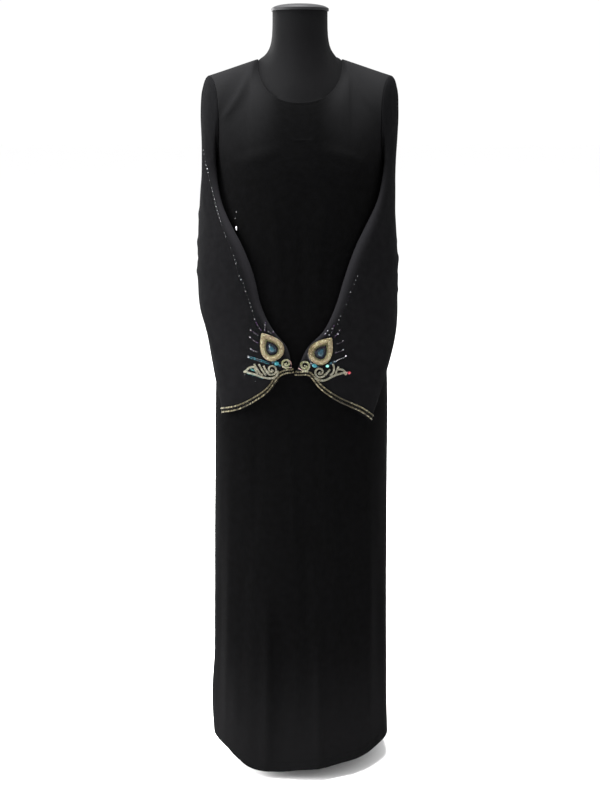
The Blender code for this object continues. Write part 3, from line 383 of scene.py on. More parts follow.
STONES = {
    "left": table(
        GEM,
        ("teal", "stone", -0.0455, 0.8998, 0.01, 0.008, 20, 0.62),
        ("teal", "bead", -0.0412, 0.903, 0.003, 0.003, 0, 0.12),
        ("teal", "stone", -0.052, 0.9024, 0.007, 0.005, 35, 0.3),
        ("teal", "stone", -0.0395, 0.8968, 0.0055, 0.0045, -20, 0.45),
        ("teal", "bead", -0.047, 0.905, 0.0022, 0.0022, 0, 0.7),
        ("silver", "bead", -0.0995, 0.9104, 0.0024, 0.0024, 0, 0.59),
        ("silver", "bead", -0.1012, 0.9122, 0.002, 0.002, 0, 0.4),
        ("silver", "bead", -0.1015, 0.9094, 0.002, 0.002, 0, 0.49),
        ("silver", "bead", -0.0955, 0.9262, 0.0022, 0.0022, 0, 0.59),
        ("silver", "bead", -0.0972, 0.9496, 0.0022, 0.0022, 0, 0.59),
        ("silver", "bead", -0.096, 0.964, 0.0022, 0.0022, 0, 0.52),
        ("silver", "bead", -0.1086, 0.8742, 0.0014, 0.0014, 0, 0.6),
        ("silver", "bead", -0.087, 0.863, 0.0014, 0.0014, 0, 0.6),
    ),
    "right": table(
        GEM,
        ("teal", "stone", 0.0285, 0.8966, 0.011, 0.0085, -15, 0.58),
        ("teal", "stone", 0.0535, 0.895, 0.007, 0.006, 10, 0.92),
        ("silver", "bead", 0.0634, 0.8985, 0.0018, 0.0018, 0, 1.0),
        ("teal", "bead", 0.0645, 0.904, 0.003, 0.003, 0, 0.12),
        ("teal", "stone", 0.0222, 0.8995, 0.007, 0.0055, 15, 0.1),
        ("teal", "stone", 0.035, 0.894, 0.006, 0.005, -35, 0.28),
        ("teal", "stone", 0.06, 0.9005, 0.0065, 0.005, 30, 0.35),
        ("teal", "stone", 0.068, 0.9025, 0.006, 0.0045, 15, 0.2),
        ("rose", "stone", 0.0965, 0.8793, 0.0066, 0.0058, 0, 0.05),
        ("rose", "bead", 0.0915, 0.88, 0.0026, 0.0026, 0, 0.6),
        ("silver", "bead", 0.0893, 0.9137, 0.0028, 0.0028, 0, 0.95),
        ("silver", "bead", 0.0836, 0.9258, 0.0022, 0.0022, 0, 0.52),
        ("silver", "bead", 0.0739, 0.9575, 0.0022, 0.0022, 0, 0.52),
        ("silver", "bead", 0.0542, 0.964, 0.0022, 0.0022, 0, 0.52),
        ("silver", "bead", 0.05, 0.9585, 0.002, 0.002, 0, 0.45),
        ("silver", "bead", 0.0571, 0.956, 0.002, 0.002, 0, 0.45),
    ),
}
SPRAY_LIFT = 0.0003
SPRAY_DOT = 0.0011
SPRAY_DOT_SHARE = 0.45
SPRAY_DOT_SHADES = (0.2, 1.0)

# Beads sewn down each sleeve, by azimuth and height
SLEEVE_LINES = {
    "left": (
        (-78.7, 1.305), (-69.6, 1.249), (-60.5, 1.196), (-56.3, 1.174), (-52.4, 1.152), (-45.4, 1.114),
        (-40.7, 1.069), (-38.5, 1.057), (-36.2, 1.034), (-34.3, 1.015), (-31.5, 0.986),
    ),
    "right": ((38.9, 1.069), (37.0, 1.057), (33.8, 1.0325), (32.4, 1.019), (26.9, 0.984), (26.1, 0.977)),
}
LINE_BRIGHT = {"left": 0.75, "right": 0.60}
LINE_PITCH = 0.0082
LINE_BEAD = 0.0016
LINE_SIZES = (0.85, 1.2)
LINE_SHADES = (0.1, 0.75)
LINE_LIFT = 0.45
DROP_BEADS = (
    (-0.1225, 1.158, 0.01, 0.0042),
    (-0.125, 1.1774, 0.0013, 0.0013),
    (-0.1235, 1.1894, 0.0013, 0.0013),
)
DROP_SHADE = 0.95

EDGING_ROWS = (0.0019, 0.0089)
EDGING_TAPE = ((0.0003, 0.0002), (0.0005, 0.0009), (0.0108, 0.0009), (0.0111, 0.0002))
EDGING_BEAD = (0.0031, 0.0014)
EDGING_PITCH = 0.0017
EDGING_SLANT = 50
EDGING_LIFT = 0.00165
EDGING_SMALL = 0.0012
EDGING_SMALL_PITCH = 0.004
EDGING_SMALL_SHADES = (0, 0.35)
# Stretches of the edging's front where its beads get painted shade, darker where they catch less light:
# from x to x, and how much of each bead's shade value is left
EDGING_PAINTED_SHADE = {"left": (), "right": ((0.064, 0.102, 0.4),)}

STITCH_PITCH = 0.0032
STITCH_SIZE = (0.0024, 0.00038)

# Looks
WEAVE_PITCH = (0.00062, 0.00055)
PEBBLE_SIZE = 0.0013
SLUB_SIZE = 0.014
CLOUD_SIZE = 0.09
# Relief, as a distance and a strength
WEAVE_RELIEF = (0.0001, 0.45)
PEBBLE_RELIEF = (0.00016, 0.55)
SLUB_RELIEF = (0.0004, 0.3)
JERSEY_RELIEF = (0.00018, 0.5)
WEAR_RELIEF = (0.00006, 0.3)
PLAIN_RELIEF = (0.00005, 0.4)
CLOTH_ROUGH = (0.78, 0.92)
CLOTH_CONTRAST = (0.2, 0.7)
CLOTH_GLOSS = 0.005
# Painted sheen along each sleeve's front fold, where a pressed fold would shine: the band's width, where it
# fades in down from the armhole, and its colour
FOLD_SHEEN_WIDTH = 0.02
FOLD_SHEEN_FROM = (0.12, 0.26)
PAINTED_FOLD_SHEEN = (0.0082, 0.0081, 0.009, 1)
CLOTH_SHEEN = {
    "Sheen Weight": 0.004,
    "Sheen Roughness": 0.35,
    "Sheen Tint": (0.55, 0.56, 0.6, 1),
}
# Stretches where the colour grows lighter: towards the hem, and painted light high on front and back
# beside the middle, where light from above falls. Up is above the hem, aside is beside the middle
LIGHTER_STRETCHES = table(
    "from_up to_up from_aside to_aside share",
    (0.3, 0.02, -0.1, 0.0, 0.26),
    (1.2, 1.44, 0.03, 0.105, 0.8),
)
LIGHTER_TONE = (0.0085, 0.0085, 0.0089, 1)
JERSEY_RIB = 0.0011
JERSEY_LOOP = 0.0016
JERSEY_CLOUD = 0.05
JERSEY_ROUGH = (0.75, 0.92)
JERSEY_GLOSS = 0.04
JERSEY_SHEEN = {"Sheen Weight": 0.01}
JERSEY_TONES = ((0.0012, 0.0012, 0.0014), (0.0027, 0.0027, 0.003))
GRIME = (0.02, 0.017, 0.012, 1)
GRIME_MOST = 0.45
WEAR_SIZE = 0.0007
SQUARE_ANGLE = 0.7
SHARP_ANGLE = 0.8

# Small sums


def hermite(start, end, leave, arrive, share):
    """A cubic from start to end that leaves and arrives along the given tangents."""
    s2 = share * share
    s3 = s2 * share
    ends = start * (2 * s3 - 3 * s2 + 1) + end * (3 * s2 - 2 * s3)
    return ends + leave * (s3 - 2 * s2 + share) + arrive * (s3 - s2)


def ease_in(value, start, end):
    """From 0 at the start to 1 at the end, softly."""
    share = np.clip((value - start) / (end - start), 0.0, 1.0)
    return share * share * (3 - 2 * share)


def bump_at(distance, width):
    return np.exp(-((distance / width) ** 2))


def unit(vectors):
    return vectors / np.maximum(np.linalg.norm(vectors, axis=-1, keepdims=True), 1e-12)


def across(grid):
    return grid.transpose(1, 0, 2)


def numbered(rows, columns, closed):
    """The point numbers of a grid, with its first column again at the end where it closes on itself."""
    number = np.arange(rows * columns).reshape(rows, columns)
    return np.concatenate([number, number[:, :1]], axis=1) if closed else number


def squares(values):
    """The four corners of each square of a grid, row by row."""
    corners = np.stack([values[:-1, :-1], values[:-1, 1:], values[1:, 1:], values[1:, :-1]], axis=2)
    return corners.reshape(-1, *corners.shape[2:])


# Reading the frame's cloth walls as grids of points


def crosses_wall(edge):
    """Whether an edge runs through the wall's thickness, square to the faces at both its ends."""
    if abs(edge.calc_length() - CAD_WALL) > WALL_TOLERANCE:
        return False
    along = (edge.verts[1].co - edge.verts[0].co).normalized()
    return all(max(abs(along.dot(f.normal)) for f in v.link_faces) > SQUARE_ENOUGH for v in edge.verts)


def islands(mesh):
    """The faces of a bmesh in groups that hang together."""
    left = set(mesh.faces)
    groups = []
    while left:
        group = [left.pop()]
        for face in group:
            beyond = {other for edge in face.edges for other in edge.link_faces} & left
            left -= beyond
            group.extend(beyond)
        groups.append(group)
    return groups


def outer_skin(node):
    """The outer face of a cloth wall, as a bmesh: the larger side once the wall's edge faces are gone."""
    skin = bmesh.new()
    skin.from_mesh(frame["nodes"][node].data)
    bmesh.ops.remove_doubles(skin, verts=skin.verts, dist=WELD_DISTANCE)
    skin.normal_update()
    edge_faces = list({face for edge in skin.edges if crosses_wall(edge) for face in edge.link_faces})
    bmesh.ops.delete(skin, geom=edge_faces, context="FACES")
    sides = islands(skin)
    if len(sides) != 2:
        raise ValueError(f"{node}: the wall came apart into {len(sides)} sides, not into 2")
    inner = min(sides, key=lambda side: sum(face.calc_area() for face in side))
    bmesh.ops.delete(skin, geom=inner, context="FACES")
    return skin


def neighbours_of(skin):
    return {v: {e.other_vert(v) for e in v.link_edges} for v in skin.verts}


def border_paths(start, stops):
    """The two ways along the border from a corner to the next corner."""
    paths = []
    for edge in start.link_edges:
        if edge.is_boundary:
            path = [start, edge.other_vert(start)]
            while path[-1] not in stops:
                ahead = [e.other_vert(path[-1]) for e in path[-1].link_edges if e.is_boundary]
                path.append(next(v for v in ahead if v != path[-2]))
            paths.append(path)
    return paths


def places_of(rows):
    return np.array([[v.co[:] for v in row] for row in rows])


def panel_points(node):
    """The outside of the front or the back: rows from hem to neck, each from -X to +X."""
    skin = outer_skin(node)
    neighbours = neighbours_of(skin)
    corners = {v for v in skin.verts if v.is_boundary and len(v.link_edges) < 4}
    low_left = min(sorted(corners, key=lambda v: v.co.z)[:2], key=lambda v: v.co.x)
    hem, side = sorted(border_paths(low_left, corners), key=lambda path: path[-1].co.z)
    rows = [hem]
    for first in side[1:]:
        below = rows[-1]
        row = [first]
        for c in range(1, len(below)):
            shared = (neighbours[row[-1]] & neighbours[below[c]]) - {below[c - 1]}
            row.append(shared.pop())
        rows.append(row)
    grid = places_of(rows)
    skin.free()
    return grid


def sleeve_points(node, side):
    """The outside of a sleeve: rows from armhole to cuff, each once round from the front fold over the top.

    Side is -1 for the sleeve at -X and 1 for the one at +X. The wall's squares are cut in two by a slanted
    edge, so each next ring is tried with and without a shift by one, and the shorter way down is kept.
    """
    skin = outer_skin(node)
    neighbours = neighbours_of(skin)
    start = max((v for v in skin.verts if v.is_boundary), key=lambda v: v.co.z)
    armhole = border_paths(start, {start})[0][:-1]
    candidates = []
    for shift in (0, 1):
        rings = [armhole]
        used = set(armhole)
        beyond = [neighbours[v] - used for v in armhole]
        while all(beyond):
            ring = [(here & after).pop() for here, after in zip(beyond, beyond[1:] + beyond[:1])]
            rings.append(ring[-shift:] + ring[:-shift] if shift else ring)
            used.update(ring)
            beyond = [neighbours[v] - used for v in rings[-1]]
        candidates.append(places_of(rings))
    grid = min(candidates, key=lambda rows: np.linalg.norm(np.diff(rows, axis=0), axis=2).sum())
    skin.free()
    grid = np.roll(grid, -int(np.argmin(side * grid[-1, :, 0])), axis=1)
    if grid[-1, 1, 1] > grid[-1, -1, 1]:
        grid = np.roll(grid[:, ::-1], 1, axis=1)
    return grid


# Drawing fine surfaces through those grids


def knots_along(grid):
    """Mean distance along the rows' direction of a grid, at each of its rows."""
    step = np.linalg.norm(np.diff(grid, axis=0), axis=2).mean(axis=1)
    return np.concatenate([[0.0], np.cumsum(step)])


def fine_knots(knots, spacing):
    """Places about a spacing apart that take in every knot."""
    parts = []
    for a, b in zip(knots, knots[1:]):
        parts.append(np.linspace(a, b, max(1, round((b - a) / spacing)), endpoint=False))
    return np.concatenate([*parts, knots[-1:]])


def with_places(knots, from_start, from_end):
    """Knots with more places among them, and without the ones that would crowd those."""
    extra = np.array([*from_start, *(knots[-1] - d for d in from_end)])
    kept = [k for k in knots if np.abs(extra - k).min() > CROWDED or k in (knots[0], knots[-1])]
    return np.unique(np.concatenate([kept, extra]))


def resample(grid, knots, wanted, kinks=None):
    """New rows of a grid at the wanted places, on cubics through its own rows.

    Kinks says how sharply each of its points may turn, from 0, smooth, to 1, a corner.
    """
    slope = np.gradient(grid, knots, axis=0, edge_order=2)
    i = np.clip(np.searchsorted(knots, wanted, side="right") - 1, 0, len(knots) - 2)
    width = (knots[i + 1] - knots[i])[:, None, None]
    share = (wanted - knots[i])[:, None, None] / width
    chord = (grid[i + 1] - grid[i]) / width
    leave = slope[i]
    arrive = slope[i + 1]
    if kinks is not None:
        leave = leave + (chord - leave) * kinks[i][:, :, None]
        arrive = arrive + (chord - arrive) * kinks[i + 1][:, :, None]
    return hermite(grid[i], grid[i + 1], leave * width, arrive * width, share)


def fine_panel(node):
    """A fine grid through a panel's points, sharp only at the neck points and below the armholes."""
    coarse = panel_points(node)
    half = coarse.shape[1] // 2
    left_neck = int(np.argmax(coarse[-1, :half, 2]))
    necks = [left_neck, coarse.shape[1] - 1 - left_neck]
    armpit = int(np.argmin(np.abs(coarse[:, half, 2] - ARMPIT_HEIGHT)))
    row_kinks = np.zeros(coarse.shape[:2])
    row_kinks[armpit, [0, -1]] = 1.0
    row_kinks[armpit, [1, -2]] = 0.3
    rows = knots_along(coarse)
    chest_line = float(np.interp(CHEST_LINE_HEIGHT, coarse[:, half, 2], rows))
    from_hem = [*EDGE_PLACES, *HEM_PLACES, *(chest_line + d for d in CHEST_LINE_PLACES)]
    fine_rows = with_places(fine_knots(rows, PANEL_STEPS[0]), from_hem, (*EDGE_PLACES, *NECK_PLACES))
    tall = resample(coarse, rows, fine_rows, row_kinks)
    column_kinks = np.zeros((coarse.shape[1], len(fine_rows)))
    column_kinks[necks] = ease_in(fine_rows, rows[-NECK_ROWS], rows[-1])
    columns = knots_along(across(coarse))
    fine_columns = with_places(fine_knots(columns, PANEL_STEPS[1]), EDGE_PLACES, EDGE_PLACES)
    grid = across(resample(across(tall), columns, fine_columns, column_kinks))
    return grid, fine_rows, fine_columns, columns[necks]


def fine_sleeve(node, side):
    """A fine grid through a sleeve's points, and the length round it. Its last column isn't repeated."""
    coarse = sleeve_points(node, side)
    margin = 3

    def wrapped(grid):
        return across(np.concatenate([grid[:, -margin:], grid, grid[:, : margin + 1]], axis=1))

    rows = knots_along(coarse)
    fine_rows = with_places(fine_knots(rows, SLEEVE_STEPS[0]), EDGE_PLACES, EDGE_PLACES)
    tall = resample(coarse, rows, fine_rows)
    columns = knots_along(wrapped(coarse))
    start = columns[margin]
    end = columns[-margin - 1]
    fine_columns = fine_knots(columns, SLEEVE_STEPS[1])
    fine_columns = fine_columns[(fine_columns >= start - 1e-9) & (fine_columns < end - 1e-9)]
    grid = across(resample(wrapped(tall), columns, fine_columns))
    return grid, fine_rows, fine_columns - start, end - start


def grid_normals(grid, closed):
    """Outward unit normals of a fine grid."""
    if closed:
        sideways = np.roll(grid, -1, axis=1) - np.roll(grid, 1, axis=1)
        reference = grid.mean(axis=1, keepdims=True)
    else:
        sideways = np.gradient(grid, axis=1)
        reference = grid * np.array((0, 0, 1))
    normal = unit(np.cross(sideways, np.gradient(grid, axis=0)))
    return normal * np.sign(((grid - reference) * normal).sum())


# Creases


def distance_to_line(points, line, share):
    """How far points of the plane are from a line, and the share of its length at the nearest place."""
    step = np.diff(line, axis=0)
    offset = points[:, None] - line[None, :-1]
    part = np.clip((offset * step).sum(axis=2) / (step**2).sum(axis=1), 0, 1)
    apart = np.linalg.norm(offset - step * part[..., None], axis=2)
    closest = apart.argmin(axis=1)
    at = (np.arange(len(points)), closest)
    return apart[at], share[closest] + part[at] / (CREASE_STEPS - 1)


def creased(plane, rows, scale, turn=None):
    """How far a table of creases moves each point of a plane, outward if positive.

    Scale turns the table's places into the plane's. Turn is the plane's width where it closes on itself.
    """
    flat = plane.reshape(-1, 2)
    total = np.zeros(len(flat))
    share = np.linspace(0, 1, CREASE_STEPS)
    stretch, inset, power = CREASE_TAPER
    for row in rows:
        start = np.array((row.from_across, row.from_up)) * scale
        along = np.array((row.to_across, row.to_up)) * scale - start
        side = np.array((-along[1], along[0])) / np.linalg.norm(along)
        line = start + along * share[:, None] + side * (row.bow * 4 * share * (1 - share))[:, None]
        middle = (line[0, 0] + line[-1, 0]) / 2
        moved = flat.copy()
        if turn is not None:
            moved[:, 0] = middle + (flat[:, 0] - middle + turn / 2) % turn - turn / 2
        reach = 3 * row.half_width
        near = np.all((moved > line.min(axis=0) - reach) & (moved < line.max(axis=0) + reach), axis=1)
        if near.any():
            apart, at = distance_to_line(moved[near], line, share)
            taper = np.sin(np.pi * (at * stretch + inset)) ** power
            total[near] += row.depth * taper * bump_at(apart, row.half_width)
    return total.reshape(plane.shape[:2])


def panel_creases(grid, panel):
    azimuth = np.arctan2(grid[..., 0], -grid[..., 1])
    round_body = np.stack([azimuth * BODY_RADIUS, grid[..., 2]], axis=-1)
    skirt = creased(round_body, SKIRT_CREASES, (math.radians(BODY_RADIUS), 1), math.tau * BODY_RADIUS)
    return skirt + creased(grid[..., [0, 2]], CHEST_CREASES[panel], 1)


def sleeve_creases(rows, columns, round_length, cuff):
    plane = np.stack(np.meshgrid(columns / round_length * SLEEVE_ROUND, rows), axis=-1)
    return creased(plane, SLEEVE_CREASES[cuff], (SLEEVE_ROUND / 360, rows[-1]), SLEEVE_ROUND)


def ripple(grid, seed):
    """Faint long unevenness of hanging cloth."""
    offset = Vector((seed * 7.3, seed * 3.1, 0))
    values = [noise.noise(Vector(place) + offset) for place in (grid / RIPPLE_SIZE).reshape(-1, 3)]
    return RIPPLE_DEPTH * np.array(values).reshape(grid.shape[:2])


# Turning grids into shells


def add_piece(name, mesh, materials, nodes=()):
    piece = bpy.data.objects.new(name, mesh)
    bpy.context.scene.collection.objects.link(piece)
    for material in materials:
        piece.data.materials.append(material)
    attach(piece, BODY)
    if nodes:
        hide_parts(*nodes)
    return piece


def shell(name, outer, rows, columns, closed, material, slot_name, node):
    """A closed shell whose thickness goes inwards from a grid, with flat cloth coordinates in metres."""
    normal = grid_normals(outer, closed)
    inner = outer - normal * CLOTH_THICKNESS
    where = np.stack(np.meshgrid(columns, rows), axis=-1)
    sideways = np.roll(outer, -1, axis=1) - outer
    looks_out = (np.cross(sideways, np.gradient(outer, axis=0)) * normal)[:, :-1].sum() > 0
    if not looks_out:
        outer, inner, where = outer[:, ::-1], inner[:, ::-1], where[:, ::-1]
    number = numbered(*outer.shape[:2], closed)
    if closed:
        step = where[:, 1:2] - where[:, :1]
        where = np.concatenate([where, where[:, -1:] + step], axis=1)
    borders = [(number[0], where[0]), (number[-1, ::-1], where[-1, ::-1])]
    if not closed:
        borders += [(number[:, -1], where[:, -1]), (number[::-1, 0], where[::-1, 0])]
    offset = number.max() + 1
    faces = [squares(number), squares(number)[:, ::-1] + offset]
    corners = [squares(where), squares(where)[:, ::-1]]
    for line, at in borders:
        faces.append(np.stack([line[1:], line[:-1], line[:-1] + offset, line[1:] + offset], axis=-1))
        corners.append(np.stack([at[1:], at[:-1], at[:-1], at[1:]], axis=1))
    mesh = bpy.data.meshes.new(name)
    points = np.concatenate([outer.reshape(-1, 3), inner.reshape(-1, 3)])
    mesh.from_pydata(points.tolist(), [], np.concatenate(faces).tolist())
    mesh.uv_layers.new(name="cloth").data.foreach_set("uv", np.concatenate(corners).ravel())
    mesh.update()
    mesh.shade_smooth()
    return add_piece(name, mesh, [material], [node])


def reach_out(edge, before, distance):
    """An edge moved on in its own plane, away from the points before it."""
    return edge + unit(edge - before) * distance


def dressed_panel(panel):
    """The finished outer grid of the front or the back, its places, and the neckline's two ends."""
    grid, rows, columns, neck = fine_panel(f"kaftan_{panel}")
    normal = grid_normals(grid, False)
    height = grid[..., 2]
    from_hem = rows[:, None]
    from_top = (rows[-1] - rows)[:, None]
    from_side = np.minimum(columns, columns[-1] - columns)[None]
    neckline = ease_in(np.minimum(columns - neck[0], neck[1] - columns)[None], 0, NECK_BLEND)
    move = panel_creases(grid, panel)
    move += ripple(grid, 1 if panel == "front" else 2) * (1 - ease_in(height, *RIPPLE_CALM))
    snug = height > RIPPLE_CALM[1]
    move[snug] = np.maximum(move[snug], SNUG_LEAST)
    move *= ease_in(from_side, 0, EDGE_CALM) * ease_in(from_top, -EDGE_CALM / 4, EDGE_CALM * 3 / 4)
    shoulder = bump_at(from_top, SEAM_PINCH_WIDTH) * (1 - neckline)
    move -= SEAM_PINCH * np.maximum(bump_at(from_side, SEAM_PINCH_WIDTH), shoulder)
    move -= STITCH_SINK * bump_at(from_hem - HEM_STITCH, STITCH_SINK_WIDTH)
    move -= STITCH_SINK * bump_at(from_top - NECK_STITCH, STITCH_SINK_WIDTH) * neckline
    move -= EDGE_ROLL * bump_at(from_hem, EDGE_PLACES[0])
    grid = grid + normal * move[..., None]
    for c, before in ((0, 1), (-1, -2)):
        reach = np.where(height[:, c] < ARMPIT_HEIGHT, SIDE_SEAM_REACH, ARMHOLE_REACH)[:, None]
        grid[:, c] = reach_out(grid[:, c], grid[:, before], reach)
    grid[-1] = reach_out(grid[-1], grid[-2], ARMHOLE_REACH * (1 - neckline[0])[:, None])
    return grid, rows, columns, neck


def dressed_sleeve(cuff, side):
    """The finished outer grid of a sleeve, and its places."""
    grid, rows, columns, round_length = fine_sleeve(f"sleeve_{cuff}", side)
    normal = grid_normals(grid, True)
    outward = np.clip(np.sin(columns / round_length * math.tau), 0, 1)[None]
    fading = 1 - ease_in((rows / rows[-1])[:, None], *SLEEVE_RIPPLE_CALM)
    start_calm, end_calm = SLEEVE_END_CALM
    move = sleeve_creases(rows, columns, round_length, cuff)
    move += ripple(grid, 3 + side) * outward * fading
    move *= (ease_in(rows, 0, start_calm) * ease_in(rows[-1] - rows, 0, end_calm))[:, None]
    move -= SEAM_PINCH * bump_at(rows, SEAM_PINCH_WIDTH)[:, None]
    grid = grid + normal * move[..., None]
    grid[0] = reach_out(grid[0], grid[1], ARMHOLE_REACH)
    return grid, rows, columns

# Materials


class Look:
    """A material in the making. A number, a colour or another node's output may go into a node."""

    def __init__(self, name, kind="TexCoord", output="Object", **settings):
        self.material = bpy.data.materials.new(name)
        self.material.use_nodes = True
        self.tree = self.material.node_tree
        self.place = self.node(kind, output, {}, **settings)

    def fill(self, made, inputs):
        for key, value in inputs.items():
            if isinstance(value, bpy.types.NodeSocket):
                self.tree.links.new(value, made.inputs[key])
            else:
                made.inputs[key].default_value = value

    def node(self, kind, output, inputs, **settings):
        """One output of a new node."""
        made = self.tree.nodes.new(f"ShaderNode{kind}")
        for name, value in settings.items():
            setattr(made, name, value)
        self.fill(made, inputs)
        return made.outputs[output]

    def maths(self, operation, a, b=0.0):
        return self.node("Math", 0, {0: a, 1: b}, operation=operation)

    def times(self, a, b):
        return self.maths("MULTIPLY", a, b)

    def blend(self, a, share_a, b, share_b):
        return self.maths("ADD", self.times(a, share_a), self.times(b, share_b))

    def part(self, vector, axis):
        return self.node("SeparateXYZ", axis, {"Vector": vector})

    def noise(self, size, detail=2.0):
        """Noise with features of about that size in metres."""
        return self.node("TexNoise", "Fac", {"Vector": self.place, "Scale": 1 / size, "Detail": detail})

    def stripes(self, pitch, direction):
        """Rounded stripes with that pitch in metres."""
        inputs = {"Vector": self.place, "Scale": math.tau / 20 / pitch}
        return self.node("TexWave", "Fac", inputs, wave_type="BANDS", bands_direction=direction)

    def spread(self, value, low, high):
        return self.node("MapRange", 0, {"Value": value, "To Min": low, "To Max": high})

    def fade(self, value, start, end):
        """From 0 at the start to 1 at the end, softly."""
        inputs = {"Value": value, "From Min": start, "From Max": end}
        return self.node("MapRange", 0, inputs, interpolation_type="SMOOTHSTEP")

    def ramp(self, factor, colours):
        """Evenly spaced colours."""
        colour = self.node("ValToRGB", "Color", {"Fac": factor})
        elements = colour.node.color_ramp.elements
        while len(elements) < len(colours):
            elements.new(0.5)
        for i, shade in enumerate(colours):
            elements[i].position = i / (len(colours) - 1)
            elements[i].color = (*shade, 1)
        return colour

    def mixed(self, share, first, second):
        return self.node("MixRGB", "Color", {"Fac": share, "Color1": first, "Color2": second})

    def relief(self, *layers):
        """The normal after layers of height, distance and strength, one on another."""
        inputs = {}
        for height, distance, strength in layers:
            inputs.update({"Height": height, "Distance": distance, "Strength": strength})
            inputs["Normal"] = self.node("Bump", "Normal", inputs)
        return inputs["Normal"]

    def finish(self, colour, rough, normal, gloss, others):
        """The material, once its shader is filled."""
        shader = self.tree.nodes["Principled BSDF"]
        self.fill(shader, {"Base Color": colour, "Roughness": rough, "Normal": normal})
        self.fill(shader, {"Specular IOR Level": gloss, **others})
        return self.material


def crepe_look(name, dark, light, pressed=False, worn=()):
    """Matte black crepe: a fine weave under a pebbly crinkle, with a little unevenness in tone.

    Pressed adds a painted sheen: the colour is lighter in a band along the front fold, where a pressed
    fold would shine. Worn has a row for each stretch over which the colour grows a little lighter, some
    of it painted light.
    """
    look = Look(name, "UVMap", "UV", uv_map="cloth")
    weave = look.times(look.stripes(WEAVE_PITCH[0], "X"), look.stripes(WEAVE_PITCH[1], "Y"))
    pebble = look.noise(PEBBLE_SIZE, 3.0)
    slub = look.noise(SLUB_SIZE, 3.0)
    tone = look.blend(slub, 0.75, look.noise(CLOUD_SIZE), 0.25)
    mottled = look.blend(look.blend(weave, 0.55, pebble, 0.45), 0.5, tone, 0.5)
    colour = look.ramp(look.fade(mottled, *CLOTH_CONTRAST), (dark, light))
    up = look.part(look.place, "Y")
    # Painted sheen: a lighter colour along the front fold, fading in down the sleeve
    if pressed:
        near_fold = look.fade(look.part(look.place, "X"), FOLD_SHEEN_WIDTH, FOLD_SHEEN_WIDTH * 0.2)
        colour = look.mixed(look.times(near_fold, look.fade(up, *FOLD_SHEEN_FROM)), colour, PAINTED_FOLD_SHEEN)
    # Stretches of lighter colour: painted light high up beside the middle, and lighter towards the hem
    for row in worn:
        aside = look.maths("ABSOLUTE", look.part(look.node("TexCoord", "Object", {}), "X"))
        aside = look.fade(aside, row.from_aside, row.to_aside)
        here = look.times(look.fade(up, row.from_up, row.to_up), aside)
        colour = look.mixed(look.times(here, row.share), colour, LIGHTER_TONE)
    normal = look.relief((weave, *WEAVE_RELIEF), (pebble, *PEBBLE_RELIEF), (slub, *SLUB_RELIEF))
    return look.finish(colour, look.spread(mottled, *CLOTH_ROUGH), normal, CLOTH_GLOSS, CLOTH_SHEEN)


def jersey_look(name):
    """Dark grey knitted jersey with fine upright ribs."""
    look = Look(name)
    loops = look.noise(JERSEY_LOOP)
    knit = look.maths("ADD", look.times(look.stripes(JERSEY_RIB, "Z"), 0.6), loops)
    colour = look.ramp(look.blend(knit, 0.25, look.noise(JERSEY_CLOUD, 3.0), 0.6), JERSEY_TONES)
    normal = look.relief((knit, *JERSEY_RELIEF))
    return look.finish(colour, look.spread(loops, *JERSEY_ROUGH), normal, JERSEY_GLOSS, JERSEY_SHEEN)


def bead_look(name, metallic, rough, gloss, coat, *colours):
    """Beads whose own colour, in thousandths, comes from the shade written on each of them."""
    look = Look(name)
    shade = look.node("Attribute", "Fac", {}, attribute_name="shade")
    wear = look.noise(WEAR_SIZE)
    own = look.ramp(shade, [[part / 1000 for part in colour] for colour in colours])
    colour = look.mixed(look.spread(wear, 0.0, GRIME_MOST), own, GRIME)
    normal = look.relief((wear, *WEAR_RELIEF))
    others = {"Metallic": metallic, "Coat Weight": coat, "Coat Roughness": 0.08}
    return look.finish(colour, look.spread(wear, *rough), normal, gloss, others)


def uneven_look(name, dark, light, size, rough, gloss, metallic=0.0):
    """A plain finish with fine unevenness in colour, gloss and relief."""
    look = Look(name)
    grain = look.noise(size, 4.0)
    tone = look.times(look.maths("ADD", grain, look.noise(size * 25)), 0.5)
    normal = look.relief((grain, *PLAIN_RELIEF))
    others = {"Metallic": metallic}
    return look.finish(look.ramp(tone, (dark, light)), look.spread(tone, *rough), normal, gloss, others)


# The body's crepe, with its lighter stretches, painted light among them
cloth_black = crepe_look("black_crepe", (0.001, 0.001, 0.001), (0.0021, 0.0021, 0.0023), worn=LIGHTER_STRETCHES)
# The sleeves' crepe is the body's crepe, more than twice as light in colour: painted light for the light
# that the sleeves catch, with the painted sheen along the fold
sleeve_black_painted_lighter = crepe_look("black_crepe_sleeve", (0.0023, 0.0023, 0.0025), (0.0049, 0.0049, 0.0053), True)
jersey = jersey_look("form_jersey_cover")
thread_black = uneven_look(
    "black_thread", (0.001, 0.001, 0.001), (0.0024, 0.0024, 0.0026), 0.0004, (0.6, 0.8), 0.02
)
felt = uneven_look(
    "dark_backing", (0.0018, 0.0018, 0.002), (0.0042, 0.0042, 0.0046), 0.0006, (0.8, 0.95), 0.005
)
metal_base = uneven_look(
    "black_powder_coat", (0.008, 0.008, 0.009), (0.018, 0.018, 0.019), 0.0008, (0.38, 0.55), 0.3
)
metal_pole = uneven_look(
    "black_steel_tube", (0.01, 0.01, 0.011), (0.022, 0.022, 0.024), 0.001, (0.25, 0.38), 0.3, 0.5
)
plastic = uneven_look("black_cap", (0.005, 0.005, 0.006), (0.012, 0.012, 0.013), 0.0012, (0.45, 0.6), 0.12)
edging_gold = bead_look(
    "edging_gold", 0.6, (0.22, 0.45), 0.5, 0.0,
    (4, 3, 1), (21, 17, 6), (66, 56, 24), (125, 103, 54), (333, 310, 209),
)
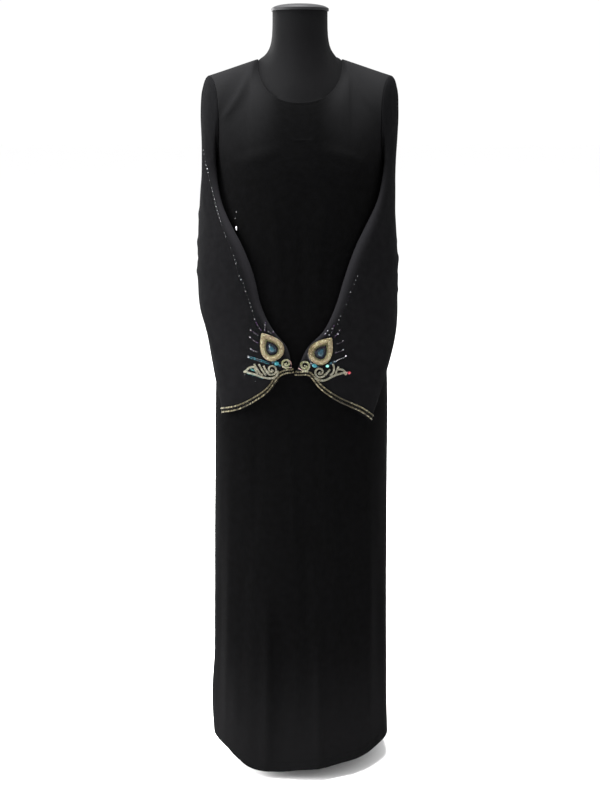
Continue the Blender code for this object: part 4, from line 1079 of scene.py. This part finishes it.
pale_gold = bead_look(
    "pale_gold", 0.45, (0.25, 0.45), 0.4, 0.0,
    (82, 57, 17), (186, 152, 63), (229, 162, 111), (272, 241, 124), (490, 456, 316),
)
leaf_silver = bead_look(
    "leaf_silver", 0.5, (0.22, 0.42), 0.4, 0.0,
    (45, 36, 18), (155, 137, 87), (228, 210, 151), (137, 154, 123), (420, 385, 309),
)
curl_green = bead_look(
    "curl_gold_green", 0.45, (0.22, 0.42), 0.4, 0.0,
    (38, 43, 11), (153, 167, 58), (246, 254, 128), (197, 162, 139), (427, 461, 290),
)
teal = bead_look(
    "teal_crystal", 0.2, (0.06, 0.16), 0.3, 0.15,
    (1, 6, 14), (2, 22, 38), (4, 70, 98), (10, 190, 210), (280, 720, 600),
)
night = bead_look(
    "night_bugles", 0.1, (0.12, 0.26), 0.12, 0.0, (1, 1, 2), (6, 2, 10), (3, 2, 8), (45, 14, 65)
)
silver = bead_look(
    "silver_bead", 0.7, (0.12, 0.28), 0.5, 0.0, (100, 100, 105), (360, 370, 390), (850, 850, 880)
)
rose = bead_look(
    "rose_crystal", 0.2, (0.06, 0.15), 0.5, 0.3, (350, 5, 20), (550, 150, 180), (620, 460, 450)
)

# The cloth itself

panels = {}
for panel in ("front", "back"):
    grid, rows, columns, neck = dressed_panel(panel)
    names = (f"{panel}_cloth", f"kaftan_{panel}")
    piece = shell(f"{panel}_shell", grid, rows, columns, False, cloth_black, *names)
    panels[panel] = SimpleNamespace(grid=grid, rows=rows, columns=columns, neck=neck, piece=piece)

sleeves = {}
for cuff, side in SIDES.items():
    grid, rows, columns = dressed_sleeve(cuff, side)
    name = f"sleeve_{cuff}"
    piece = shell(f"{name}_shell", grid, rows, columns, True, sleeve_black_painted_lighter, f"{name}_cloth", name)
    sleeves[cuff] = SimpleNamespace(grid=grid, rows=rows, piece=piece)

# Lines on the cloth


def cloth_tree(grid, closed):
    faces = squares(numbered(*grid.shape[:2], closed)).tolist()
    return BVHTree.FromPolygons([Vector(p) for p in grid.reshape(-1, 3)], faces)


def cast(tree, start, direction):
    """The place where a ray meets the cloth, and the cloth's normal on that side."""
    place, normal, _, _ = tree.ray_cast(start, direction)
    if place is None:
        raise ValueError(f"there is no cloth on the way from {start[:]}")
    return np.array(place), np.array(normal if normal.dot(direction) < 0 else -normal)


def seen_point(tree, x, height):
    """The place on the cloth and its normal, where (x, height) shows in the straight front view."""
    return cast(tree, Vector((x, -1.0, height)), Vector((0, 1, 0)))


def side_point(tree, azimuth, height):
    """The place on the cloth and its normal, looking at the body's axis from that azimuth."""
    angle = math.radians(azimuth)
    outward = Vector((math.sin(angle), -math.cos(angle), 0))
    return cast(tree, outward + Vector((0, 0, height)), -outward)


def smooth_line(points, steps=6):
    """A soft curve through a few points."""
    points = np.array(points, float)
    padded = np.concatenate([2 * points[:1] - points[1:2], points, 2 * points[-1:] - points[-2:-1]])
    line = []
    for a, b, c, d in zip(padded, padded[1:], padded[2:], padded[3:]):
        line += [hermite(b, c, (c - a) / 2, (d - b) / 2, k / steps) for k in range(steps)]
    return np.array([*line, points[-1]])


def beside(line, distance):
    """A line of pairs moved sideways, to the left of its direction if the distance is positive."""
    along = unit(np.gradient(line, axis=0))
    return line + np.stack([-along[:, 1], along[:, 0]], axis=1) * distance


def traced(tree, line, look=seen_point):
    """Places and normals of a line of pairs on the cloth."""
    found = [look(tree, *pair) for pair in line]
    return np.array([place for place, _ in found]), np.array([normal for _, normal in found])


def spaced(places, normals, pitch, closed=False):
    """Even places along a line on the cloth, with direction and normal at each."""
    if closed:
        places = np.concatenate([places, places[:1]])
        normals = np.concatenate([normals, normals[:1]])
    length = np.concatenate([[0.0], np.cumsum(np.linalg.norm(np.diff(places, axis=0), axis=1))])
    count = max(2, round(length[-1] / pitch))
    at = np.linspace(0, length[-1], count + (0 if closed else 1), endpoint=not closed)

    def read(at, values):
        return np.stack([np.interp(at, length, values[:, k]) for k in range(3)], axis=1)

    along = read(at + pitch / 4, places) - read(at - pitch / 4, places)
    return read(at, places), along, unit(read(at, normals))


# Beads, as templates of unit size


def turned(profile, sides):
    """A bead turned round X. Its profile of pairs along X and out from it starts and ends on the axis."""
    points = [(profile[0][0], 0.0, 0.0)]
    for along, reach in profile[1:-1]:
        for s in range(sides):
            turn = math.tau * s / sides
            points.append((along, reach * math.cos(turn), reach * math.sin(turn)))
    points.append((profile[-1][0], 0.0, 0.0))
    last = len(points) - 1
    faces = []
    for s in range(sides):
        after = (s + 1) % sides
        faces.append((0, 1 + after, 1 + s))
        for low in range(1, last - sides, sides):
            faces.append((low + s, low + after, low + sides + after, low + sides + s))
        faces.append((last - sides + s, last - sides + after, last))
    return points, faces


def ball(sides, rings):
    """A round bead of unit diameter, a little flat at both ends."""
    angles = [math.pi * r / rings for r in range(1, rings)]
    belt = [(0.47 * math.cos(angle), 0.5 * math.sin(angle)) for angle in angles]
    return turned([(0.44, 0.0), *belt, (-0.44, 0.0)], sides)


def stone(sides=8):
    """A faceted stone of unit width with a flat table, its back on the XY plane."""
    points = []
    for height, reach, turn in ((0.42, 0.27, 0.0), (0.3, 0.42, 0.5), (0.12, 0.5, 0.0), (0.0, 0.44, 0.5)):
        for s in range(sides):
            angle = math.tau * (s + turn) / sides
            points.append((reach * math.cos(angle), reach * math.sin(angle), height))
    faces = [tuple(range(sides)), tuple(range(4 * sides - 1, 3 * sides - 1, -1))]
    for r in range(3):
        low = r * sides
        high = low + sides
        for s in range(sides):
            after = (s + 1) % sides
            if r == 1:
                faces.append((low + s, high + s, low + (s - 1) % sides))
                faces.append((low + s, high + after, high + s))
            else:
                faces.append((low + s, high + s, low + after))
                faces.append((low + after, high + s, high + after))
    return points, faces


# A tube bead with rounded, slightly hollow ends
TUBE_END = ((0.46, 0.0), (0.5, 0.28), (0.47, 0.45), (0.4, 0.5))
TUBE = (*TUBE_END, *((-along, reach) for along, reach in TUBE_END[::-1]))
BALL = ball(8, 5)
SMALL_BALL = ball(6, 4)
ROD = turned(TUBE, 8)
STITCH = turned(TUBE, 6)
STONE = stone()
BEADS = {"ball": BALL, "rod": ROD}


class Trim:
    """Many small sewn-on things gathered into one mesh."""

    def __init__(self, seed):
        self.dice = random.Random(seed)
        self.points = []
        self.faces = []
        self.materials = []
        self.smooth = []
        self.shades = []

    def add(self, points, faces, material, shade=0.5, smooth=True):
        start = len(self.points)
        self.points.extend(tuple(p) for p in points)
        self.faces.extend(tuple(start + i for i in face) for face in faces)
        self.materials.extend([material] * len(faces))
        self.smooth.extend([smooth] * len(faces))
        self.shades.extend([shade] * len(points))

    def pad(self, tree, outlines, material):
        """A padded backing through outlines from its border to its middle, each with its lift."""
        rings = []
        for line, lift in outlines:
            places, normals = traced(tree, line)
            rings.append(places + normals * lift)
        columns = len(rings[0])
        last = (len(rings) - 1) * columns
        caps = [tuple(range(last, last + columns)), tuple(range(columns))[::-1]]
        faces = squares(numbered(len(rings), columns, True)).tolist()
        self.add(np.concatenate(rings), faces + caps, material)

    def draw_shades(self, places, low, high):
        return [self.dice.uniform(low, high) for _ in places]

    def sew(self, bead, line, size, lift, material, shades, smooth=True):
        """A bead of a size (length, width) for each place, direction and normal of a line.

        It lies along its direction, and its template's origin is lifted that far off the cloth.
        """
        points, faces = bead
        points = np.array(points) * (size[0], size[1], size[1])
        for place, forward, normal, shade in zip(*line, shades):
            up = normal / np.linalg.norm(normal)
            forward = forward - up * forward.dot(up)
            forward = forward / np.linalg.norm(forward)
            axes = np.stack([forward, np.cross(up, forward), up])
            self.add(place + normal * lift + points @ axes, faces, material, shade, smooth)

    def sew_one(self, bead, place, normal, along, size, lift, material, shade, smooth=True):
        line = ([place], [np.array(along, float)], [normal])
        self.sew(bead, line, size, lift, material, [shade], smooth)

    def string(self, bead, tree, line, pitch, size, lift, material, low, high):
        """Beads strung along a line of pairs, their undersides that far above the cloth."""
        line = spaced(*traced(tree, line), pitch)
        self.sew(bead, line, size, lift + size[1] / 2, material, self.draw_shades(line[0], low, high))

    def piece(self, name, materials, slot_name=None, nodes=()):
        mesh = bpy.data.meshes.new(name)
        mesh.from_pydata(self.points, [], self.faces)
        mesh.attributes.new("shade", "FLOAT", "POINT").data.foreach_set("value", self.shades)
        mesh.polygons.foreach_set("material_index", self.materials)
        mesh.polygons.foreach_set("use_smooth", self.smooth)
        mesh.update()
        return add_piece(name, mesh, materials, nodes)


# Cuff edging


def mouth_line(sleeve, offset):
    """The line round a sleeve that far above its mouth, with its normals."""
    normal = grid_normals(sleeve.grid, True)
    at = sleeve.rows[-1] - offset
    r = int(np.searchsorted(sleeve.rows, at)) - 1
    share = (at - sleeve.rows[r]) / (sleeve.rows[r + 1] - sleeve.rows[r])
    place = sleeve.grid[r] * (1 - share) + sleeve.grid[r + 1] * share
    return place, unit(normal[r] * (1 - share) + normal[r + 1] * share)


def with_painted_shade(cuff, places, shades):
    """The shades of the edging's beads, lowered by painted shade over stretches of the front where they
    catch less light.
    """
    for low, high, keep in EDGING_PAINTED_SHADE[cuff]:
        for i, (x, y, _) in enumerate(places):
            if low < x < high and y < 0:
                shades[i] *= keep
    return shades


def edging(cuff):
    """Two rows of slanted tube beads on a dark tape, with small beads sewn between them."""
    trim = Trim(f"edging {cuff}")
    sleeve = sleeves[cuff]
    rings = []
    for offset, lift in EDGING_TAPE:
        place, normal = mouth_line(sleeve, offset)
        rings.append(place + normal * lift)
    number = numbered(len(rings), len(rings[0]), True)
    trim.add(np.concatenate(rings), squares(np.concatenate([number, number[:1]])).tolist(), 1)
    lean = math.radians(EDGING_SLANT)
    for offset in EDGING_ROWS:
        place, along, normal = spaced(*mouth_line(sleeve, offset), EDGING_PITCH, closed=True)
        slanted = unit(along) * math.cos(lean) + np.cross(normal, unit(along)) * math.sin(lean)
        # Painted shade: beads darker over stretches of the front
        shades = with_painted_shade(cuff, place + normal * EDGING_LIFT, trim.draw_shades(place, 0, 1))
        trim.sew(ROD, (place, slanted, normal), EDGING_BEAD, EDGING_LIFT, 0, shades)
    middle = spaced(*mouth_line(sleeve, sum(EDGING_ROWS) / 2), EDGING_SMALL_PITCH, closed=True)
    shades = trim.draw_shades(middle[0], *EDGING_SMALL_SHADES)
    trim.sew(SMALL_BALL, middle, (EDGING_SMALL,) * 2, EDGING_LIFT, 0, shades)
    name = f"cuff_edging_{cuff}"
    return trim.piece(f"{name}_beads", [edging_gold, felt], f"edging_{cuff}_beads", [name])


# Teardrops


def teardrop_line(cuff, size, steps=60):
    """The outline of a cuff's teardrop at a share of its full size, as (x, height) pairs."""
    (x, height), tilt = TEARDROPS[cuff]
    tilt = math.radians(tilt)
    line = []
    for step in range(steps):
        angle = math.tau * step / steps
        wide = 0.5 * math.sin(angle) * math.sin(angle / 2) ** TEARDROP_TAPER / TEARDROP_FULLEST
        wide *= TEARDROP_WIDTH * size
        up = TEARDROP_LENGTH * (TEARDROP_MIDDLE + (0.5 * math.cos(angle) - TEARDROP_MIDDLE) * size)
        moved = (wide * math.cos(tilt) - up * math.sin(tilt), wide * math.sin(tilt) + up * math.cos(tilt))
        line.append((x + moved[0], height + moved[1]))
    return line


def tinted(cuff, size, angle, dice):
    """The shade of a bead of the border in a patch of another colour, or None outside them."""
    for row in TEARDROP_TINTS[cuff]:
        inside = row.from_angle <= angle <= row.to_angle and size > row.above_size
        if inside and dice.random() < row.share:
            return row.shade
    return None


def cut_stone(trim, tree, line):
    """A low faceted stone with that outline."""
    places, _ = traced(tree, line)
    middle, normal = seen_point(tree, *np.mean(line, axis=0))
    inner = middle + (places - middle) * STONE_TABLE
    lifts = (TEARDROP_SINK, TEARDROP_SINK + STONE_GIRDLE, TEARDROP_SINK + STONE_RISE)
    points = np.concatenate([ring + normal * lift for ring, lift in zip((places, places, inner), lifts)])
    count = len(line)
    faces = [tuple(range(count))[::-1], tuple(range(2 * count, 3 * count))]
    for c in range(count):
        after = (c + 1) % count
        faces.append((c, after, count + after, count + c))
        faces.append((count + c, count + after, 2 * count + c))
        faces.append((count + after, 2 * count + after, 2 * count + c))
    for face in faces:
        shade = trim.dice.uniform(*STONE_SHADES)
        trim.add(points[list(face)], [tuple(range(len(face)))], 2, shade, False)


def teardrop(cuff, tree):
    """Strings of gold beads round a teal stone, on a padded backing."""
    trim = Trim(f"teardrop {cuff}")
    trim.pad(tree, [(teardrop_line(cuff, size), lift) for size, lift in TEARDROP_PAD], 3)
    for row in TEARDROP_STRINGS:
        line = traced(tree, teardrop_line(cuff, row.size, 90))
        line = spaced(*line, row.length * 1.03, closed=True)
        shades = trim.draw_shades(line[0], row.low, row.high)
        for i in range(len(shades)):
            shade = tinted(cuff, row.size, 360 * i / len(shades), trim.dice)
            if row.material == 0 and shade is not None:
                shades[i] = shade
        size = (row.length, row.width)
        trim.sew(BEADS[row.bead], line, size, row.lift + row.width / 2, row.material, shades)
    cut_stone(trim, tree, teardrop_line(cuff, TEARDROP_STONE, 14))
    name = f"teardrop_{cuff}"
    return trim.piece(f"{name}_beads", [pale_gold, night, teal, felt, curl_green], f"{name}_gold", [name])


# Leaves, scrolls and curls


def leaf_border(cuff, steps=12):
    """Pairs (x, height) along both borders of a leaf, from its root to its tip and back."""
    root, tip = np.array(LEAVES[cuff])
    along = tip - root
    side = np.array((-along[1], along[0])) / np.linalg.norm(along)
    upper = []
    lower = []
    for step in range(steps + 1):
        share = step / steps
        bow = math.copysign(LEAF_BOW, along[0]) * math.sin(math.pi * share)
        middle = root + along * share - side * bow
        through = LEAF_ENDS[0] + (LEAF_ENDS[1] - LEAF_ENDS[0]) * share
        half = max(LEAF_WIDTH / 2 * math.sin(math.pi * through) ** LEAF_TAPER, LEAF_LEAST)
        upper.append(middle + side * half)
        lower.append(middle - side * half)
    return np.array(upper + lower[::-1])


def leaf(cuff, tree):
    """Strings of silver and teal beads that draw a leaf's border and fronds, over a thin backing."""
    trim = Trim(f"leaf {cuff}")
    border = leaf_border(cuff)
    middle = np.mean(border, axis=0)
    trim.pad(tree, [(middle + (border - middle) * share, lift) for share, lift in LEAF_RINGS], 2)
    for row in LEAF_STRINGS[cuff]:
        size = (row.size * 1.05, row.size)
        for apart in {-row.apart / 2, row.apart / 2}:
            line = beside(smooth_line(row.points), apart)
            trim.string(BALL, tree, line, row.size, size, LEAF_PAD, *LEAF_SHADES[row.colour])
    name = f"leaf_{cuff}"
    return trim.piece(f"{name}_beads", [leaf_silver, teal, felt], f"{name}_silver", [name])


def scroll(spec, tree):
    """Two strings of beads side by side along a spiral, from its outer end inwards, and a pearl in it."""
    trim = Trim(f"scroll {spec.name}")
    for shift in spec.shifts:
        line = []
        for step in range(SCROLL_STEPS + 1):
            share = step / SCROLL_STEPS
            radius = spec.radius * (1 - share * (1 - SCROLL_INNER)) + shift
            angle = math.radians(spec.start + spec.spin * 360 * spec.turns * share)
            line.append((spec.x + radius * math.cos(angle), spec.height + radius * math.sin(angle)))
        trim.string(BALL, tree, line, SCROLL_BEAD[1], SCROLL_BEAD, SCROLL_LIFT, 0, *SCROLL_SHADES)
    place, normal = seen_point(tree, spec.x, spec.height)
    lift = SCROLL_LIFT + SCROLL_PEARL / 2
    trim.sew_one(BALL, place, normal, (1, 0, 0), (SCROLL_PEARL,) * 2, lift, 0, SCROLL_PEARL_SHADE)
    material = leaf_silver if spec.name.startswith("leaf") else curl_green
    return trim.piece(f"{spec.name}_beads", [material], f"{spec.name}_cord", [spec.name])


# Stones, rays, single beads and stitching


def sprays(cuff, tree):
    """The rays, strands, stones and single beads round a cuff's teardrop and leaf."""
    trim = Trim(f"spray {cuff}")
    order = {"silver": 0, "night": 1, "teal": 2, "rose": 3}
    for ray in RAYS[cuff]:
        line = smooth_line(ray.points)
        size = (ray.length, ray.width)
        bead = ROD if ray.length > 1.5 * ray.width else BALL
        pitch = ray.length * ray.spread
        trim.string(bead, tree, line, pitch, size, SPRAY_LIFT, order[ray.colour], ray.low, ray.high)
        if ray.colour == "night":
            dots = traced(tree, beside(line, ray.width))
            for place, along, normal in zip(*spaced(*dots, pitch / 2)):
                if trim.dice.random() < SPRAY_DOT_SHARE:
                    shade = trim.dice.uniform(*SPRAY_DOT_SHADES)
                    size = (SPRAY_DOT,) * 2
                    trim.sew_one(SMALL_BALL, place, normal, along, size, SPRAY_DOT / 2, 0, shade)
    for gem in STONES[cuff]:
        place, normal = seen_point(tree, gem.x, gem.height)
        turn = math.radians(gem.turn)
        along = (math.cos(turn), 0, math.sin(turn))
        size = (gem.length, gem.width)
        smooth = gem.cut == "bead"
        lift = SPRAY_LIFT + (gem.width / 2 if smooth else 0)
        template = BALL if smooth else STONE
        trim.sew_one(template, place, normal, along, size, lift, order[gem.colour], gem.shade, smooth)
    return trim.piece(f"cuff_{cuff}_stones", [silver, night, teal, rose, curl_green])


def sleeve_line(cuff, tree):
    """A line of small sparse beads down the sleeve."""
    trim = Trim(f"line {cuff}")
    line = traced(tree, smooth_line(SLEEVE_LINES[cuff]), side_point)
    for place, along, normal in zip(*spaced(*line, LINE_PITCH)):
        material = 0 if trim.dice.random() < LINE_BRIGHT[cuff] else 1
        size = LINE_BEAD * trim.dice.uniform(*LINE_SIZES)
        shade = trim.dice.uniform(*LINE_SHADES)
        trim.sew_one(BALL, place, normal, along, (size,) * 2, size * LINE_LIFT, material, shade)
    return trim.piece(f"sleeve_{cuff}_bead_line", [silver, night])


def bodice_drop(tree):
    """A small white glass drop with two tiny beads above it, beside the left sleeve's fold."""
    trim = Trim("bodice drop")
    for x, height, *size in DROP_BEADS:
        trim.sew_one(BALL, *seen_point(tree, x, height), (0, 0, 1), size, size[1] / 2, 0, DROP_SHADE)
    return trim.piece("bodice_drop", [silver])


def stitches(name, places, normals):
    """A line of machine stitches pressed into the cloth."""
    trim = Trim(name)
    line = spaced(places, normals, STITCH_PITCH)
    trim.sew(STITCH, line, STITCH_SIZE, 0, 0, [0.5] * len(line[0]))
    return trim.piece(name, [thread_black])


def panel_stitches(panel):
    """Hem and neckline stitching of the front or the back."""
    spec = panels[panel]
    normal = grid_normals(spec.grid, False)
    hem = int(np.abs(spec.rows - HEM_STITCH).argmin())
    neck = int(np.abs(spec.rows - (spec.rows[-1] - NECK_STITCH)).argmin())
    low, high = spec.neck
    inside = (spec.columns > low + NECK_STITCH) & (spec.columns < high - NECK_STITCH)
    return [
        stitches(f"{panel}_hem_stitches", spec.grid[hem], normal[hem]),
        stitches(f"{panel}_neck_stitches", spec.grid[neck, inside], normal[neck, inside]),
    ]


sewn_on = {panel: panel_stitches(panel) for panel in panels}
sewn_on["front"].append(bodice_drop(cloth_tree(panels["front"].grid, False)))
for cuff in SIDES:
    tree = cloth_tree(sleeves[cuff].grid, True)
    sewn_on[cuff] = [edging(cuff), teardrop(cuff, tree), leaf(cuff, tree), sprays(cuff, tree)]
    sewn_on[cuff].append(sleeve_line(cuff, tree))
    sewn_on[cuff] += [scroll(spec, tree) for spec in SCROLLS if spec.cuff == cuff]

# The form, rounder than its solid, and its stand


def rounder(node, name, material, levels):
    """A node's mesh in squares instead of triangles, divided and eased except at its sharp edges."""
    work = bmesh.new()
    work.from_mesh(frame["nodes"][node].data)
    bmesh.ops.remove_doubles(work, verts=work.verts, dist=WELD_DISTANCE)
    bmesh.ops.join_triangles(
        work, faces=work.faces, angle_face_threshold=SQUARE_ANGLE, angle_shape_threshold=SQUARE_ANGLE
    )
    crease = work.edges.layers.float.new("crease_edge")
    for edge in work.edges:
        if edge.calc_face_angle(0.0) > SHARP_ANGLE:
            edge[crease] = 1.0
            edge.smooth = False
    for face in work.faces:
        face.smooth = True
    mesh = bpy.data.meshes.new(name)
    work.to_mesh(mesh)
    work.free()
    mesh.materials.clear()
    piece = add_piece(name, mesh, [material], [node])
    divided = piece.modifiers.new("rounder", "SUBSURF")
    divided.levels = levels
    divided.render_levels = levels
    return piece


torso = rounder("form_torso", "torso_cover", jersey, 1)
rounder("form_neck_cap", "neck_cap", plastic, 2)
rounder("stand_pole", "pole_tube", metal_pole, 1)
rounder("stand_base", "base_plate", metal_base, 1)

# Floor, world, lights and camera


def in_scene(name, data):
    made = bpy.data.objects.new(name, data)
    bpy.context.scene.collection.objects.link(made)
    return made


floor_mesh = bpy.data.meshes.new("floor")
corners = [(x * FLOOR_REACH, y * FLOOR_REACH, 0) for x, y in ((-1, -1), (1, -1), (1, 1), (-1, 1))]
floor_mesh.from_pydata(corners, [], [(0, 1, 2, 3)])
floor_mesh.materials.append(
    uneven_look("floor_paper", (PAPER - 0.01,) * 3, (PAPER,) * 3, 0.002, (0.85, 0.95), 0.2)
)
floor = in_scene("floor", floor_mesh)

world = bpy.data.worlds.new("studio")
world.use_nodes = True
world.node_tree.nodes["Background"].inputs["Color"].default_value = (SKY, SKY, SKY, 1)
world.node_tree.nodes["Background"].inputs["Strength"].default_value = 1.0
bpy.context.scene.world = world

for row in LIGHTS:
    lamp = bpy.data.lights.new(row.name, "AREA")
    lamp.shape = "SQUARE"
    lamp.size = row.size
    lamp.energy = row.power
    light = in_scene(row.name, lamp)
    light.location = row.place
    light.rotation_euler = (Vector(row.target) - Vector(row.place)).to_track_quat("-Z", "Y").to_euler()

lens = bpy.data.cameras.new("camera")
lens.sensor_fit = "VERTICAL"
lens.sensor_height = SENSOR_HEIGHT
lens.lens = FOCAL_PIXELS / IMAGE_HEIGHT * SENSOR_HEIGHT
camera = in_scene("camera", lens)
camera.location = CAMERA_PLACE
camera.rotation_euler = (math.radians(90 - CAMERA_TILT), 0, 0)
bpy.context.scene.camera = camera
bpy.context.scene.view_settings.view_transform = "Standard"
